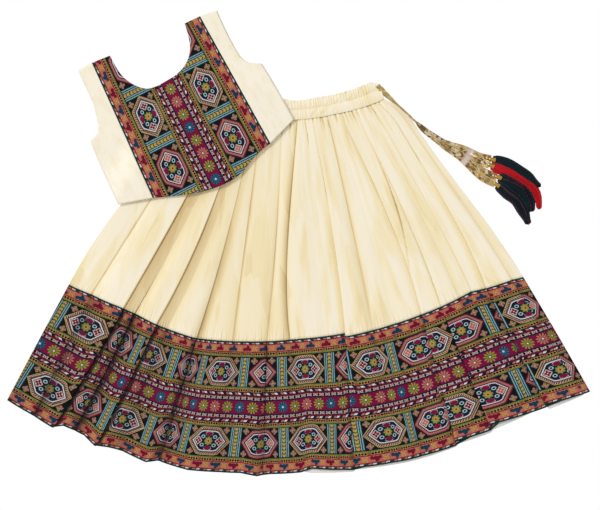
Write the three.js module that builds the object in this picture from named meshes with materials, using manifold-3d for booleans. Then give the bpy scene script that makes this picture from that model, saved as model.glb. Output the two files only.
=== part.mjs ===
// A child's lehenga choli laid flat: a gathered silk skirt with an elasticated waistband and a
// wide brocade border, its sleeveless choli lying partly over it, and the skirt's drawstring,
// which ends in four gold streamers with caps and silk tassels.
// Millimetres, +Z up, the underside at z = 0, +X across the hem and +Y towards the waist.

import * as THREE from 'three';
import { mergeVertices } from 'three/addons/utils/BufferGeometryUtils.js';
import Module from 'manifold-3d';

const wasm = await Module();
wasm.setup();

// ---------- driving dimensions ----------

const SEAM_GAP = 0.3;        // between pieces that are sewn together
const CLOTH = 1.2;           // wall of the silk with its lining, and of the brocade
const BACK_WALL = 1.5;       // wall of the hidden back panels
const LINING_WALL = 1.0;     // the white lining that shows below the hem

const FAN_APEX = { x: -32, y: 508 };   // where the side edges of the flared skirt would meet
const SKIRT_LEVEL = 3.0;     // middle of the front's wall where it lies flat on the back
const BORDER_LEVEL = 3.9;    // the same near the hem, over the lining
const FOLD_STEP = 0.85;      // quarter of the height of a knife pleat, two walls and a gap
const GATHER_PITCH = 1.75;   // degrees between gathers under the waistband
const GATHER_HEIGHT = 0.9;
const GATHER_END = 0.22;     // share of the skirt's length where the gathers have died away

const BAND_LEVEL = 4.5;      // middle of the waistband's wall
const BAND_PUFF = 1.0;       // crown of each of its two elastic channels
const BAND_RUFFLE = 0.7;     // ruffles that the elastic draws up

const CHOLI_ORIGIN = { x: -204.3, y: 248 };   // middle of the neckline
const CHOLI_TURN = 26.6;     // degrees that the choli is turned from upright
const CHOLI_REST = 7.6;      // underside of the choli where it lies on the skirt
const CHOLI_SLOPE = 56;      // length over which it comes down to the floor
const CHOLI_CROWN = 2.2;     // rise of the front above the back at its middle
const CHOLI_LAYER = 0.4;     // between the choli's front and back

const TAPE_RADIUS = 2.3;     // the drawstring, twisted round
const STREAMER_RADIUS = 1.2;
const CAP_LENGTH = 12;
const CAP_RADIUS = 3.4;
const TASSEL_HEAD = { length: 5, radius: 2.5 };
const LOCK = { sides: 3, radius: 0.62, tip: 0.3, segments: 6, across: 6 };

// ---------- materials ----------

function finish(color, roughness, metalness = 0) {
  return new THREE.MeshStandardMaterial({ color, roughness, metalness, side: THREE.DoubleSide });
}

const material = {
  silk: finish(0xf3e7c9, 0.5),
  choliSilk: finish(0xf4edda, 0.6),
  brocade: finish(0x6e3a44, 0.75),
  lining: finish(0xf3f1ea, 0.8),
  gold: finish(0xc9a75a, 0.4, 0.5),
  cap: finish(0xb98f3c, 0.35, 0.9),
  teal: finish(0x12333c, 0.6),
  red: finish(0x9c1f33, 0.6),
};

const model = new THREE.Group();

function addPiece(name, geometry, look) {
  const mesh = new THREE.Mesh(geometry, look);
  mesh.name = name;
  model.add(mesh);
}

// ---------- number helpers ----------

const radians = (degrees) => (degrees * Math.PI) / 180;
const mix = (a, b, share) => a + (b - a) * share;
const clamp01 = (value) => Math.min(1, Math.max(0, value));

function smooth(share) {
  const s = clamp01(share);
  return s * s * (3 - 2 * s);
}

// Value of a table's column at a place along it: rows are sorted by their key column.
function along(table, key, column, at) {
  const last = table.length - 1;
  let i = 1;
  while (i < last && table[i][key] < at) i++;
  const low = table[i - 1];
  const high = table[i];
  const share = clamp01((at - low[key]) / (high[key] - low[key]));
  return mix(low[column], high[column], share);
}

// ---------- closed cloth walls ----------

// A closed wall from the points of its upper and lower faces, given as matching rows.
function wallBetween(upper, lower) {
  const rows = upper.length;
  const columns = upper[0].length;
  const positions = [];
  for (const face of [upper, lower]) {
    for (const row of face) {
      for (const p of row) positions.push(p.x, p.y, p.z);
    }
  }
  const top = (j, i) => j * columns + i;
  const bottom = (j, i) => rows * columns + j * columns + i;
  const index = [];
  const quad = (a, b, c, d) => index.push(a, b, c, a, c, d);
  for (let j = 0; j < rows - 1; j++) {
    for (let i = 0; i < columns - 1; i++) {
      quad(top(j, i), top(j + 1, i), top(j + 1, i + 1), top(j, i + 1));
      quad(bottom(j, i), bottom(j, i + 1), bottom(j + 1, i + 1), bottom(j + 1, i));
    }
    quad(top(j, 0), bottom(j, 0), bottom(j + 1, 0), top(j + 1, 0));
    const e = columns - 1;
    quad(top(j, e), top(j + 1, e), bottom(j + 1, e), bottom(j, e));
  }
  for (let i = 0; i < columns - 1; i++) {
    quad(top(0, i), top(0, i + 1), bottom(0, i + 1), bottom(0, i));
    const e = rows - 1;
    quad(top(e, i), bottom(e, i), bottom(e, i + 1), top(e, i + 1));
  }
  return facingOut(positions, index);
}

// Turns every face round if the closed shape would be inside out.
function facingOut(positions, index) {
  const corner = (k) => new THREE.Vector3().fromArray(positions, 3 * index[k]);
  let volume = 0;
  for (let k = 0; k < index.length; k += 3) {
    volume += corner(k).dot(corner(k + 1).cross(corner(k + 2)));
  }
  if (volume < 0) {
    for (let k = 0; k < index.length; k += 3) {
      [index[k], index[k + 1]] = [index[k + 1], index[k]];
    }
  }
  const geometry = new THREE.BufferGeometry();
  geometry.setAttribute('position', new THREE.Float32BufferAttribute(positions, 3));
  geometry.setIndex(index);
  return geometry;
}

// ---------- the skirt's fan ----------

// Radii from the apex, by angle from straight down, positive to the right.
const waistTop = [
  { angle: -25.3, radius: 285 }, { angle: 0.7, radius: 276 }, { angle: 5.8, radius: 282 },
  { angle: 13.1, radius: 282 }, { angle: 30.6, radius: 291 }, { angle: 32.2, radius: 300 },
];
const waistSeam = [
  { angle: -23.8, radius: 309 }, { angle: 4.6, radius: 312 }, { angle: 16.5, radius: 315 },
  { angle: 30.5, radius: 325 },
];
const borderSeam = [
  { angle: -30.1, radius: 661 }, { angle: -26.7, radius: 652 }, { angle: -22.1, radius: 658 },
  { angle: -19.5, radius: 661 }, { angle: -16.3, radius: 667 }, { angle: -11.3, radius: 672 },
  { angle: -3.9, radius: 666 }, { angle: 3.1, radius: 661 }, { angle: 9.35, radius: 660 },
  { angle: 9.45, radius: 665 }, { angle: 15.7, radius: 663 }, { angle: 27.7, radius: 661 },
  { angle: 29.85, radius: 668 }, { angle: 33.4, radius: 678 }, { angle: 34.9, radius: 685 },
];
const hemLine = [
  { angle: -29.5, radius: 875 }, { angle: -25.9, radius: 877 }, { angle: -24.2, radius: 880 },
  { angle: -23.2, radius: 871 }, { angle: -20.8, radius: 871 }, { angle: -19.4, radius: 881 },
  { angle: -18.0, radius: 876 }, { angle: -16.4, radius: 875 }, { angle: -13.8, radius: 882 },
  { angle: -12.7, radius: 876 }, { angle: -9.4, radius: 881 }, { angle: -3.9, radius: 876 },
  { angle: -2.2, radius: 880 }, { angle: -0.8, radius: 876 }, { angle: 2.4, radius: 874 },
  { angle: 3.6, radius: 869 }, { angle: 7.95, radius: 878 }, { angle: 8.05, radius: 875 },
  { angle: 13.9, radius: 878 }, { angle: 18.95, radius: 878 }, { angle: 19.05, radius: 871 },
  { angle: 22.95, radius: 875 }, { angle: 23.05, radius: 866 }, { angle: 29.15, radius: 881 },
  { angle: 29.25, radius: 877 }, { angle: 33.8, radius: 896 },
];

// The folds of the front from left to right. Angles at the waist, half way down the silk, at
// the border's seam and at the hem; heights above the flat level at the same four places. A
// knife pleat also has the overlap of its layers there, and says which side lies on top.
const folds = [
  fold('left edge', [-23.8, -29.0, -30.1, -29.5], [0, 0, 0, 0]),
  fold('crease 1', [-19.0, -25.2, -26.8, -26.4], [0.6, 0.4, 2.4, 3.0]),
  knife('pleat 2', 'left', [-15.2, -19.3, -22.0, -24.1], [0.3, 0.2, 4.2, 4.6], [0, 3, 14, 12]),
  fold('hollow 2', [-13.2, -17.2, -20.2, -21.9], [0.2, 0.2, 1.0, 1.0]),
  knife('pleat 3', 'left', [-10.8, -13.7, -17.2, -19.3], [0.4, 0.2, 4.0, 4.4], [0, 3, 16, 14]),
  fold('hollow 3', [-9.2, -12.0, -15.4, -17.2], [0.2, 0.2, 1.0, 1.4]),
  fold('ridge 4', [-8.2, -10.8, -12.6, -14.3], [1.4, 2.6, 5.0, 6.4]),
  fold('crease 4', [-7.2, -9.4, -10.8, -12.6], [0.4, 0, 0, 0]),
  fold('ridge 5', [-6.2, -7.8, -8.9, -10.2], [1.4, 2.6, 4.6, 5.2]),
  fold('crease 5', [-4.6, -6.0, -6.3, -6.1], [0.4, 1.0, 1.6, 2.4]),
  fold('ridge 6', [-1.8, -3.2, -3.6, -3.4], [1.6, 3.0, 4.2, 5.4]),
  fold('crease 6', [1.1, -0.2, -1.5, -1.6], [0.4, 0, 0, 0]),
  fold('ridge 7', [3.6, 0.9, 0.2, 0.6], [2.2, 3.4, 4.2, 5.0]),
  fold('crease 7', [5.7, 2.0, 1.7, 3.3], [0, 0.2, 0.8, 2.0]),
  fold('ridge 8', [6.9, 3.8, 4.2, 5.4], [2.0, 3.4, 3.6, 4.2]),
  fold('crease 8', [8.4, 6.8, 6.6, 6.8], [0.6, 1.6, 2.0, 2.2]),
  knife('pleat 9', 'right', [10.2, 10.2, 9.4, 8.0], [0.6, 0.8, 1.0, 1.6], [0, 4, 28, 22]),
  fold('crease 10', [12.4, 13.2, 13.6, 12.0], [0.2, 0.6, 1.6, 3.0]),
  fold('ridge 11', [13.6, 15.1, 14.9, 13.8], [1.6, 3.0, 4.2, 5.2]),
  fold('crease 11', [15.0, 16.8, 16.2, 15.2], [0.6, 1.6, 2.0, 2.0]),
  fold('ridge 12', [17.0, 19.9, 18.4, 17.2], [2.6, 4.6, 4.2, 3.8]),
  knife('pleat 13', 'right', [20.2, 22.9, 20.2, 19.0], [0.2, 0.2, 0.8, 1.2], [0, 4, 31, 28]),
  knife('pleat 14', 'right', [22.8, 24.9, 23.3, 23.0], [0.6, 0.8, 1.2, 1.4], [0, 2, 20, 17]),
  fold('ridge 15', [24.6, 27.0, 26.2, 26.0], [2.0, 3.6, 4.4, 4.0]),
  fold('crease 15', [26.0, 28.9, 28.0, 27.6], [0.6, 1.2, 2.0, 2.2]),
  knife('pleat 16', 'right', [27.6, 31.2, 29.9, 29.2], [0.4, 0.6, 1.0, 1.2], [0, 8, 34, 32]),
  fold('crease 17', [29.2, 33.5, 33.3, 33.0], [0.6, 1.4, 2.6, 3.6]),
  fold('right edge', [30.5, 34.4, 34.9, 33.8], [0, 0, 0, 0]),
];

function fold(name, angles, heights) {
  return { name, over: null, stations: stationsOf(angles, heights, [0, 0, 0, 0]) };
}

function knife(name, over, angles, heights, overlaps) {
  return { name, over, stations: stationsOf(angles, heights, overlaps) };
}

function stationsOf(angles, heights, overlaps) {
  const places = [0, 0.5, 1, 2];
  return places.map((place, k) => (
    { place, angle: angles[k], height: heights[k], overlap: overlaps[k] }));
}

// Smooth course of a fold's value down the skirt: 0 is the waist, 1 the border's seam, 2 the hem.
function course(row, column, place) {
  const s = row.stations;
  const straight = along(s, 'place', column, place);
  if (place >= 1) return straight;
  const bow = s[1][column] - (s[0][column] + s[2][column]) / 2;
  return mix(s[0][column], s[2][column], place) + bow * 4 * place * (1 - place);
}

const liftAt = (place) => mix(SKIRT_LEVEL, BORDER_LEVEL, smooth((place - 1.1) / 0.5));

function radiusAt(angle, place) {
  const seam = along(borderSeam, 'angle', 'radius', angle);
  if (place >= 1) return mix(seam, along(hemLine, 'angle', 'radius', angle), place - 1);
  const narrowed = angle * mix(1, 0.87, place);
  return mix(along(waistSeam, 'angle', 'radius', narrowed), seam, place);
}

function gatherAt(angle, place) {
  const fade = 1 - smooth(place / GATHER_END);
  const uneven = 0.6 + 0.4 * Math.sin(angle * 1.3 + 1);
  return GATHER_HEIGHT * fade * uneven * Math.cos((2 * Math.PI * angle) / GATHER_PITCH);
}

// One cross-section of the front: columns with their angle, the angle whose length they have
// (a layer that lies hidden keeps its own pleat's length), and their height.
function skirtSection(place, columnsBetween) {
  const columns = [];
  const base = liftAt(place);
  const put = (angle, length, height) => columns.push({ angle, length, z: base + height });
  let previous = null;
  for (const row of folds) {
    const angle = course(row, 'angle', place);
    const height = course(row, 'height', place);
    const knots = row.over ? knifeKnots(row, angle, height, place) : [{ angle, length: angle, height }];
    if (previous) {
      const first = knots[0];
      for (let k = 1; k <= columnsBetween; k++) {
        const share = k / (columnsBetween + 1);
        const at = mix(previous.angle, first.angle, share);
        const rise = mix(previous.height, first.height, smooth(share));
        put(at, at, rise + gatherAt(at, place));
      }
    }
    const ripple = gatherAt(angle, place);
    for (const knot of knots) put(knot.angle, knot.length, knot.height + ripple);
    previous = knots[knots.length - 1];
  }
  return columns;
}

// The three layers of a knife pleat, from the left to the right along the cloth.
function knifeKnots(row, angle, height, place) {
  const radius = radiusAt(angle, place);
  const overlap = Math.max(0, course(row, 'overlap', place) * smooth((place - 0.3) / 0.2));
  const opened = mix(0.35, 1, smooth(place / 0.3));
  const step = FOLD_STEP * opened;
  const turn = Math.min(0.8, overlap * 0.2);
  const degrees = (length) => THREE.MathUtils.radToDeg(length / radius);
  const side = row.over === 'right' ? 1 : -1;
  const shift = 0.04;
  const under = angle - side * shift;
  const above = angle + side * shift;
  const knots = [
    { out: 0, up: 0, length: under },
    { out: overlap, up: 0, length: under },
    { out: overlap + turn, up: 1, length: under },
    { out: overlap, up: 2, length: above },
    { out: 0, up: 2, length: above },
    { out: -turn, up: 3, length: above },
    { out: 0, up: 4, length: above },
    { out: overlap + 2, up: 4, length: 0 },
  ].map((k) => {
    const at = angle + side * degrees(k.out);
    return { angle: at, length: k.length || at, height: height + k.up * step };
  });
  return side > 0 ? knots : knots.reverse();
}

function fanPoint(angle, radius, z) {
  const a = radians(angle);
  return new THREE.Vector3(FAN_APEX.x + radius * Math.sin(a), FAN_APEX.y - radius * Math.cos(a), z);
}

// Pleated wall between two places down the skirt, with its thickness square to each section.
function pleatedWall(places, trimStart, trimEnd, columnsBetween) {
  const upper = [];
  const lower = [];
  places.forEach((place, j) => {
    const section = skirtSection(place, columnsBetween);
    const trim = (j === 0 ? trimStart : 0) - (j === places.length - 1 ? trimEnd : 0);
    const flat = section.map((c) => {
      const radius = radiusAt(c.length, place) + trim;
      return { angle: c.angle, radius, x: radius * radians(c.angle), z: c.z };
    });
    const up = [];
    const down = [];
    flat.forEach((c, i) => {
      const before = flat[Math.max(0, i - 1)];
      const after = flat[Math.min(flat.length - 1, i + 1)];
      const run = after.angle * radians(c.radius) - before.angle * radians(c.radius);
      const rise = after.z - before.z;
      const size = Math.hypot(run, rise);
      const offset = { x: (-rise / size) * (CLOTH / 2), z: (run / size) * (CLOTH / 2) };
      const tilt = THREE.MathUtils.radToDeg(offset.x / c.radius);
      up.push(fanPoint(c.angle + tilt, c.radius, c.z + offset.z));
      down.push(fanPoint(c.angle - tilt, c.radius, c.z - offset.z));
    });
    upper.push(up);
    lower.push(down);
  });
  return wallBetween(upper, lower);
}

// Flat sheet of the fan, between two places and two heights.
function flatFan(angles, places, radius, floor, thickness) {
  const face = (z) => places.map((place) => angles(place).map((angle) => (
    fanPoint(angle, radius(angle, place), z))));
  return wallBetween(face(floor + thickness), face(floor));
}

function evenly(from, to, count) {
  return Array.from({ length: count }, (_, k) => mix(from, to, k / (count - 1)));
}

function edgeAngles(place, count, inset) {
  const first = folds[0];
  const last = folds[folds.length - 1];
  return evenly(course(first, 'angle', place) + inset, course(last, 'angle', place) - inset, count);
}

function addSkirt() {
  const silkPlaces = [0, 0.06, 0.14, 0.25, 0.38, 0.52, 0.68, 0.84, 1];
  const borderPlaces = [1, 1.25, 1.5, 1.75, 2];
  const half = SEAM_GAP / 2;
  addPiece('skirt_front', pleatedWall(silkPlaces, half, half, 2), material.silk);
  addPiece('border_front', pleatedWall(borderPlaces, half, 0, 2), material.brocade);

  const inset = 0.12;
  const backAngles = (place) => edgeAngles(place, 21, inset);
  const trimmed = (start, end, hem) => (angle, place) => {
    const trim = (place === start ? half : 0) - (place === end ? half + hem : 0);
    return radiusAt(angle, place) + trim;
  };
  const skirtBack = flatFan(backAngles, [0, 0.5, 1], trimmed(0, 1, 0), 0, BACK_WALL);
  addPiece('skirt_back', skirtBack, material.silk);
  const borderBack = flatFan(backAngles, [1, 1.5, 2], trimmed(1, 2, 2), 0, BACK_WALL);
  addPiece('border_back', borderBack, material.brocade);
}

// White lining that shows as slivers below the right half of the hem: how far it reaches past
// the flared hem's radius at each angle.
const liningHem = [
  { angle: 2.6, radius: 873 }, { angle: 3.4, radius: 876 }, { angle: 7.9, radius: 881 },
  { angle: 8.1, radius: 878 }, { angle: 13.4, radius: 884 }, { angle: 15.6, radius: 884 },
  { angle: 18.9, radius: 882 }, { angle: 19.2, radius: 880 }, { angle: 22.8, radius: 882 },
  { angle: 23.1, radius: 880 }, { angle: 29.1, radius: 883 }, { angle: 29.3, radius: 886 },
  { angle: 31.6, radius: 888 }, { angle: 32.2, radius: 882 },
];
const LINING_DEPTH = 62;

function addLining() {
  const angles = () => liningHem.map((row) => row.angle);
  const radius = (angle, place) => along(liningHem, 'angle', 'radius', angle) - (2 - place) * LINING_DEPTH;
  const strip = flatFan(angles, [1, 2], radius, BACK_WALL + SEAM_GAP, LINING_WALL);
  addPiece('skirt_lining_hem', strip, material.lining);
}

// ---------- waistband ----------

const BAND_ENDS = { topLeft: -25.3, topRight: 32.2, seamLeft: -23.8, seamRight: 30.5 };

function bandAngle(share, down) {
  const left = mix(BAND_ENDS.topLeft, BAND_ENDS.seamLeft, down);
  const right = mix(BAND_ENDS.topRight, BAND_ENDS.seamRight, down);
  return mix(left, right, share);
}

function bandRadius(angle, down) {
  const top = along(waistTop, 'angle', 'radius', angle);
  const seam = along(waistSeam, 'angle', 'radius', angle);
  return mix(top, seam - SEAM_GAP, down);
}

function addWaistband() {
  const columns = evenly(0, 1, 73);
  const rows = [0, 0.22, 0.47, 0.74, 1];
  const middle = (share, down) => {
    const angle = bandAngle(share, down);
    const puff = BAND_PUFF * Math.abs(Math.sin(2 * Math.PI * down));
    const ruffle = BAND_RUFFLE * Math.cos((2 * Math.PI * angle) / GATHER_PITCH);
    return fanPoint(angle, bandRadius(angle, down), BAND_LEVEL + puff + ruffle);
  };
  const face = (shift) => rows.map((down) => columns.map((share) => {
    const p = middle(share, down);
    p.z += shift;
    return p;
  }));
  const front = wallBetween(face(CLOTH / 2), face(-CLOTH / 2));
  addPiece('waistband_front', front, material.silk);

  const backThickness = 2 * BACK_WALL;
  const angles = (down) => evenly(0.004, 0.996, 17).map((share) => bandAngle(share, down));
  const back = flatFan(angles, [0, 1], bandRadius, 0, backThickness);
  addPiece('waistband_back', back, material.silk);
}

// ---------- choli ----------

// Armhole and side edges from the shoulder down to the hem, in the choli's own axes: across to
// the right and down from the middle of the neckline. The share is the same for every column.
const choliSides = [
  { share: 0.00, left: -117.4, leftDown: -91.0, right: 121.2, rightDown: -78.0 },
  { share: 0.13, left: -118.5, leftDown: -61.7, right: 120.2, rightDown: -51.7 },
  { share: 0.25, left: -119.6, leftDown: -32.0, right: 120.0, rightDown: -25.0 },
  { share: 0.33, left: -123.0, leftDown: -17.0, right: 120.9, rightDown: -7.0 },
  { share: 0.40, left: -128.4, leftDown: 1.9, right: 123.0, rightDown: 8.0 },
  { share: 0.45, left: -135.0, leftDown: 12.4, right: 130.0, rightDown: 20.0 },
  { share: 0.49, left: -150.3, leftDown: 18.3, right: 147.5, rightDown: 30.5 },
  { share: 0.65, left: -153.7, leftDown: 57.8, right: 150.2, rightDown: 62.0 },
  { share: 0.82, left: -154.6, leftDown: 93.0, right: 151.9, rightDown: 96.0 },
  { share: 1.00, left: -155.3, leftDown: 129.4, right: 153.6, rightDown: 133.6 },
];

// Columns of the centre panel: shoulder and neckline above, hem below.
const choliColumns = [
  { across: -93.6, down: -92.3, hem: -102.7, hemDown: 144.9 },
  { across: -78.0, down: -91.2, hem: -86.0, hemDown: 151.5 },
  { across: -62.8, down: -89.8, hem: -70.0, hemDown: 157.6 },
  { across: -62.2, down: -70.0, hem: -62.0, hemDown: 160.7 },
  { across: -58.8, down: -49.5, hem: -54.0, hemDown: 163.4 },
  { across: -49.0, down: -30.8, hem: -43.0, hemDown: 167.0 },
  { across: -34.3, down: -16.6, hem: -29.4, hemDown: 170.6 },
  { across: -18.0, down: -12.8, hem: -14.0, hemDown: 173.9 },
  { across: 0.0, down: -13.2, hem: 2.0, hemDown: 175.8 },
  { across: 18.0, down: -14.8, hem: 18.0, hemDown: 176.4 },
  { across: 34.8, down: -20.5, hem: 34.8, hemDown: 174.0 },
  { across: 47.9, down: -30.2, hem: 48.0, hemDown: 169.6 },
  { across: 57.8, down: -44.4, hem: 58.0, hemDown: 165.0 },
  { across: 63.3, down: -61.0, hem: 66.0, hemDown: 161.4 },
  { across: 67.2, down: -82.3, hem: 74.0, hemDown: 157.8 },
  { across: 80.6, down: -82.0, hem: 88.0, hemDown: 154.0 },
  { across: 94.2, down: -81.7, hem: 103.7, hemDown: 151.0 },
];
const SIDE_COLUMNS = 3;

// The choli as one grid, its rows going down and its columns across: side, centre, side.
function choliGrid() {
  return choliSides.map((row) => {
    const centre = choliColumns.map((c) => ({
      across: mix(c.across, c.hem, row.share),
      down: mix(c.down, c.hemDown, row.share),
    }));
    const left = { across: row.left, down: row.leftDown };
    const right = { across: row.right, down: row.rightDown };
    const between = (a, b, share) => ({
      across: mix(a.across, b.across, share),
      down: mix(a.down, b.down, share),
    });
    const sideShares = evenly(0, 1, SIDE_COLUMNS + 1).slice(0, -1);
    const leftSide = sideShares.map((s) => between(left, centre[0], s));
    const rightSide = sideShares.map((s) => between(right, centre[centre.length - 1], s)).reverse();
    return [...leftSide, ...centre, ...rightSide];
  });
}

function choliPlace(across, down) {
  const turn = radians(CHOLI_TURN);
  return {
    x: CHOLI_ORIGIN.x + across * Math.cos(turn) + down * Math.sin(turn),
    y: CHOLI_ORIGIN.y + across * Math.sin(turn) - down * Math.cos(turn),
  };
}

// How far a place lies outside the skirt, past its waistband or its left edge.
function outsideSkirt(x, y) {
  const beyond = (from, to) => {
    const run = { x: to.x - from.x, y: to.y - from.y };
    return ((x - from.x) * run.y - (y - from.y) * run.x) / -Math.hypot(run.x, run.y);
  };
  const corner = fanPoint(BAND_ENDS.topLeft, along(waistTop, 'angle', 'radius', -25.3), 0);
  const bandMiddle = fanPoint(0.7, along(waistTop, 'angle', 'radius', 0.7), 0);
  const edge = fanPoint(course(folds[0], 'angle', 0.5), radiusAt(-29, 0.5), 0);
  return Math.max(beyond(corner, bandMiddle), beyond(edge, corner), 0);
}

function choliFloor(x, y) {
  return CHOLI_REST * (1 - smooth((outsideSkirt(x, y) - 3) / CHOLI_SLOPE));
}

// Wall of some of the grid's columns: its floor above what the choli lies on, the rise of its
// middle, and how far its first and last columns are moved across.
function choliWall(first, last, floor, crown, moves) {
  const grid = choliGrid();
  const width = grid[0].length - 1;
  const face = (up) => grid.map((row, j) => {
    const length = choliSides[j].share;
    return row.slice(first, last + 1).map((c, k) => {
      const at = k === 0 ? moves.start : 0;
      const move = k === last - first ? moves.end : at;
      const p = choliPlace(c.across + move, c.down);
      const share = (first + k) / width;
      const rise = crown * Math.sin(Math.PI * share) * Math.sin(Math.PI * mix(0.12, 0.9, length));
      return new THREE.Vector3(p.x, p.y, choliFloor(p.x, p.y) + floor + rise + up);
    });
  });
  return wallBetween(face(CLOTH), face(0));
}

function addCholi() {
  const leftSeam = SIDE_COLUMNS;
  const rightSeam = SIDE_COLUMNS + choliColumns.length - 1;
  const end = rightSeam + SIDE_COLUMNS;
  const half = SEAM_GAP / 2;
  const edge = 1.6;
  const frontFloor = CLOTH + CHOLI_LAYER;
  addPiece('choli_back', choliWall(0, end, 0, 0, { start: -edge, end: edge }), material.choliSilk);
  const panels = [
    { name: 'choli_front_left', from: 0, to: leftSeam, start: 0, end: -half, look: material.choliSilk },
    { name: 'choli_front_center', from: leftSeam, to: rightSeam, start: half, end: -half,
      look: material.brocade },
    { name: 'choli_front_right', from: rightSeam, to: end, start: half, end: 0,
      look: material.choliSilk },
  ];
  for (const p of panels) {
    addPiece(p.name, choliWall(p.from, p.to, frontFloor, CHOLI_CROWN, p), p.look);
  }
}

// ---------- drawstring, streamers and tassels ----------

// The drawstring lies on the floor beside the skirt, from the waistband's end to its split.
const tapeRoute = [
  [130.8, 248.0, 4.6], [133.0, 246.2, 4.5], [137.5, 240.8, 3.6], [143.0, 235.6, 2.8],
  [148.5, 230.6, 2.6], [154.0, 225.4, 2.6], [159.2, 220.6, 2.6], [164.6, 215.8, 2.6],
  [171.0, 210.2, 2.6], [177.6, 204.0, 2.6], [184.4, 197.4, 2.6], [191.4, 190.6, 2.6],
  [198.0, 184.4, 2.6], [205.0, 178.6, 2.6], [212.6, 173.0, 2.6], [221.0, 167.4, 2.6],
  [229.6, 161.4, 2.6],
];

// Streamers from the split to their caps; each cap and tassel carries its line on.
const streamers = [
  { name: '1', look: 'teal',
    route: [[232.3, 164.3], [238.4, 161.7], [245.0, 159.0], [253.0, 156.4], [261.4, 153.6],
      [270.0, 149.8], [279.0, 145.2], [288.0, 140.6], [296.4, 137.6], [303.6, 135.6]],
    tassel: [[321.0, 131.4], [334.0, 127.6], [351.6, 117.6], [369.6, 105.4], [382.4, 95.0],
      [388.0, 90.6]] },
  { name: '2', look: 'red',
    route: [[230.8, 162.2], [237.2, 158.8], [245.0, 155.8], [253.0, 152.4], [261.4, 148.6],
      [270.0, 143.4], [279.0, 137.8], [288.0, 132.6], [296.0, 129.0], [302.0, 126.6]],
    tassel: [[318.0, 120.6], [334.0, 114.6], [355.0, 103.4], [371.6, 91.0], [382.0, 76.8],
      [385.6, 63.8], [385.0, 54.0]] },
  { name: '3', look: 'teal',
    route: [[229.3, 160.1], [236.0, 155.6], [244.0, 151.8], [252.0, 147.8], [260.0, 143.2],
      [268.4, 137.0], [277.4, 130.0], [287.0, 122.0], [297.0, 115.0], [306.0, 110.6],
      [313.6, 107.6]],
    tassel: [[329.0, 102.6], [342.4, 98.6], [357.6, 90.0], [368.0, 75.4], [372.4, 60.6],
      [372.8, 50.0]] },
  { name: '4', look: 'teal',
    route: [[227.8, 158.0], [233.8, 153.2], [241.4, 148.4], [249.4, 143.4], [257.4, 138.0],
      [265.6, 131.0], [274.0, 123.0], [283.4, 113.8], [293.4, 105.6], [303.0, 100.2],
      [311.2, 97.2]],
    tassel: [[325.6, 88.8], [335.0, 80.2], [349.0, 70.4], [357.8, 57.4], [364.6, 42.0],
      [369.0, 30.0]] },
];
const STREAMER_HEIGHT = 1.5;
const CAP_HEIGHT = 3.7;

function tube(points, radius, sides, steps) {
  const route = new THREE.CatmullRomCurve3(points, false, 'centripetal');
  const section = new THREE.Shape(evenly(0, 2 * Math.PI, sides + 1).slice(0, -1).map((a) => (
    new THREE.Vector2(radius * Math.cos(a), radius * Math.sin(a)))));
  return new THREE.ExtrudeGeometry(section, { steps, extrudePath: route, curveSegments: 1 });
}

// A turned piece with its axis along a direction, from a profile of radii and lengths.
function turned(profile, start, direction, sides) {
  const points = profile.map((p) => new THREE.Vector2(p.radius, p.at));
  const geometry = new THREE.LatheGeometry(points, sides);
  const turn = new THREE.Quaternion().setFromUnitVectors(new THREE.Vector3(0, 1, 0), direction);
  geometry.applyQuaternion(turn);
  geometry.translate(start.x, start.y, start.z);
  return geometry;
}

function solidOf(geometry) {
  const bare = geometry.clone();
  bare.deleteAttribute('normal');
  bare.deleteAttribute('uv');
  const merged = mergeVertices(bare, 1e-4);
  const vertProperties = new Float32Array(merged.attributes.position.array);
  const triVerts = new Uint32Array(merged.index.array);
  return new wasm.Manifold(new wasm.Mesh({ numProp: 3, vertProperties, triVerts }));
}

function geometryOf(solid) {
  const mesh = solid.getMesh();
  const geometry = new THREE.BufferGeometry();
  geometry.setAttribute('position', new THREE.Float32BufferAttribute(mesh.vertProperties, 3));
  geometry.setIndex(Array.from(mesh.triVerts));
  return geometry;
}

// A lock of silk: a slim tapered prism along its own line, closed at both ends.
function lock(points) {
  const route = new THREE.CatmullRomCurve3(points, false, 'centripetal');
  const positions = [];
  const index = [];
  const { sides, segments } = LOCK;
  for (let j = 0; j <= segments; j++) {
    const share = j / segments;
    const p = route.getPoint(share);
    const run = route.getTangent(share);
    const across = new THREE.Vector3(-run.y, run.x, 0).normalize();
    const radius = mix(LOCK.radius, LOCK.tip, share * share);
    for (let k = 0; k < sides; k++) {
      const a = (2 * Math.PI * k) / sides + Math.PI / 2;
      const q = p.clone().addScaledVector(across, radius * Math.cos(a));
      positions.push(q.x, q.y, q.z + radius * Math.sin(a));
    }
  }
  for (let j = 0; j < segments; j++) {
    for (let k = 0; k < sides; k++) {
      const next = (k + 1) % sides;
      const a = j * sides + k;
      const b = j * sides + next;
      index.push(a, b, b + sides, a, b + sides, a + sides);
    }
  }
  for (let k = 1; k < sides - 1; k++) {
    const e = segments * sides;
    index.push(0, k + 1, k, e, e + k, e + k + 1);
  }
  return facingOut(positions, index);
}

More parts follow.
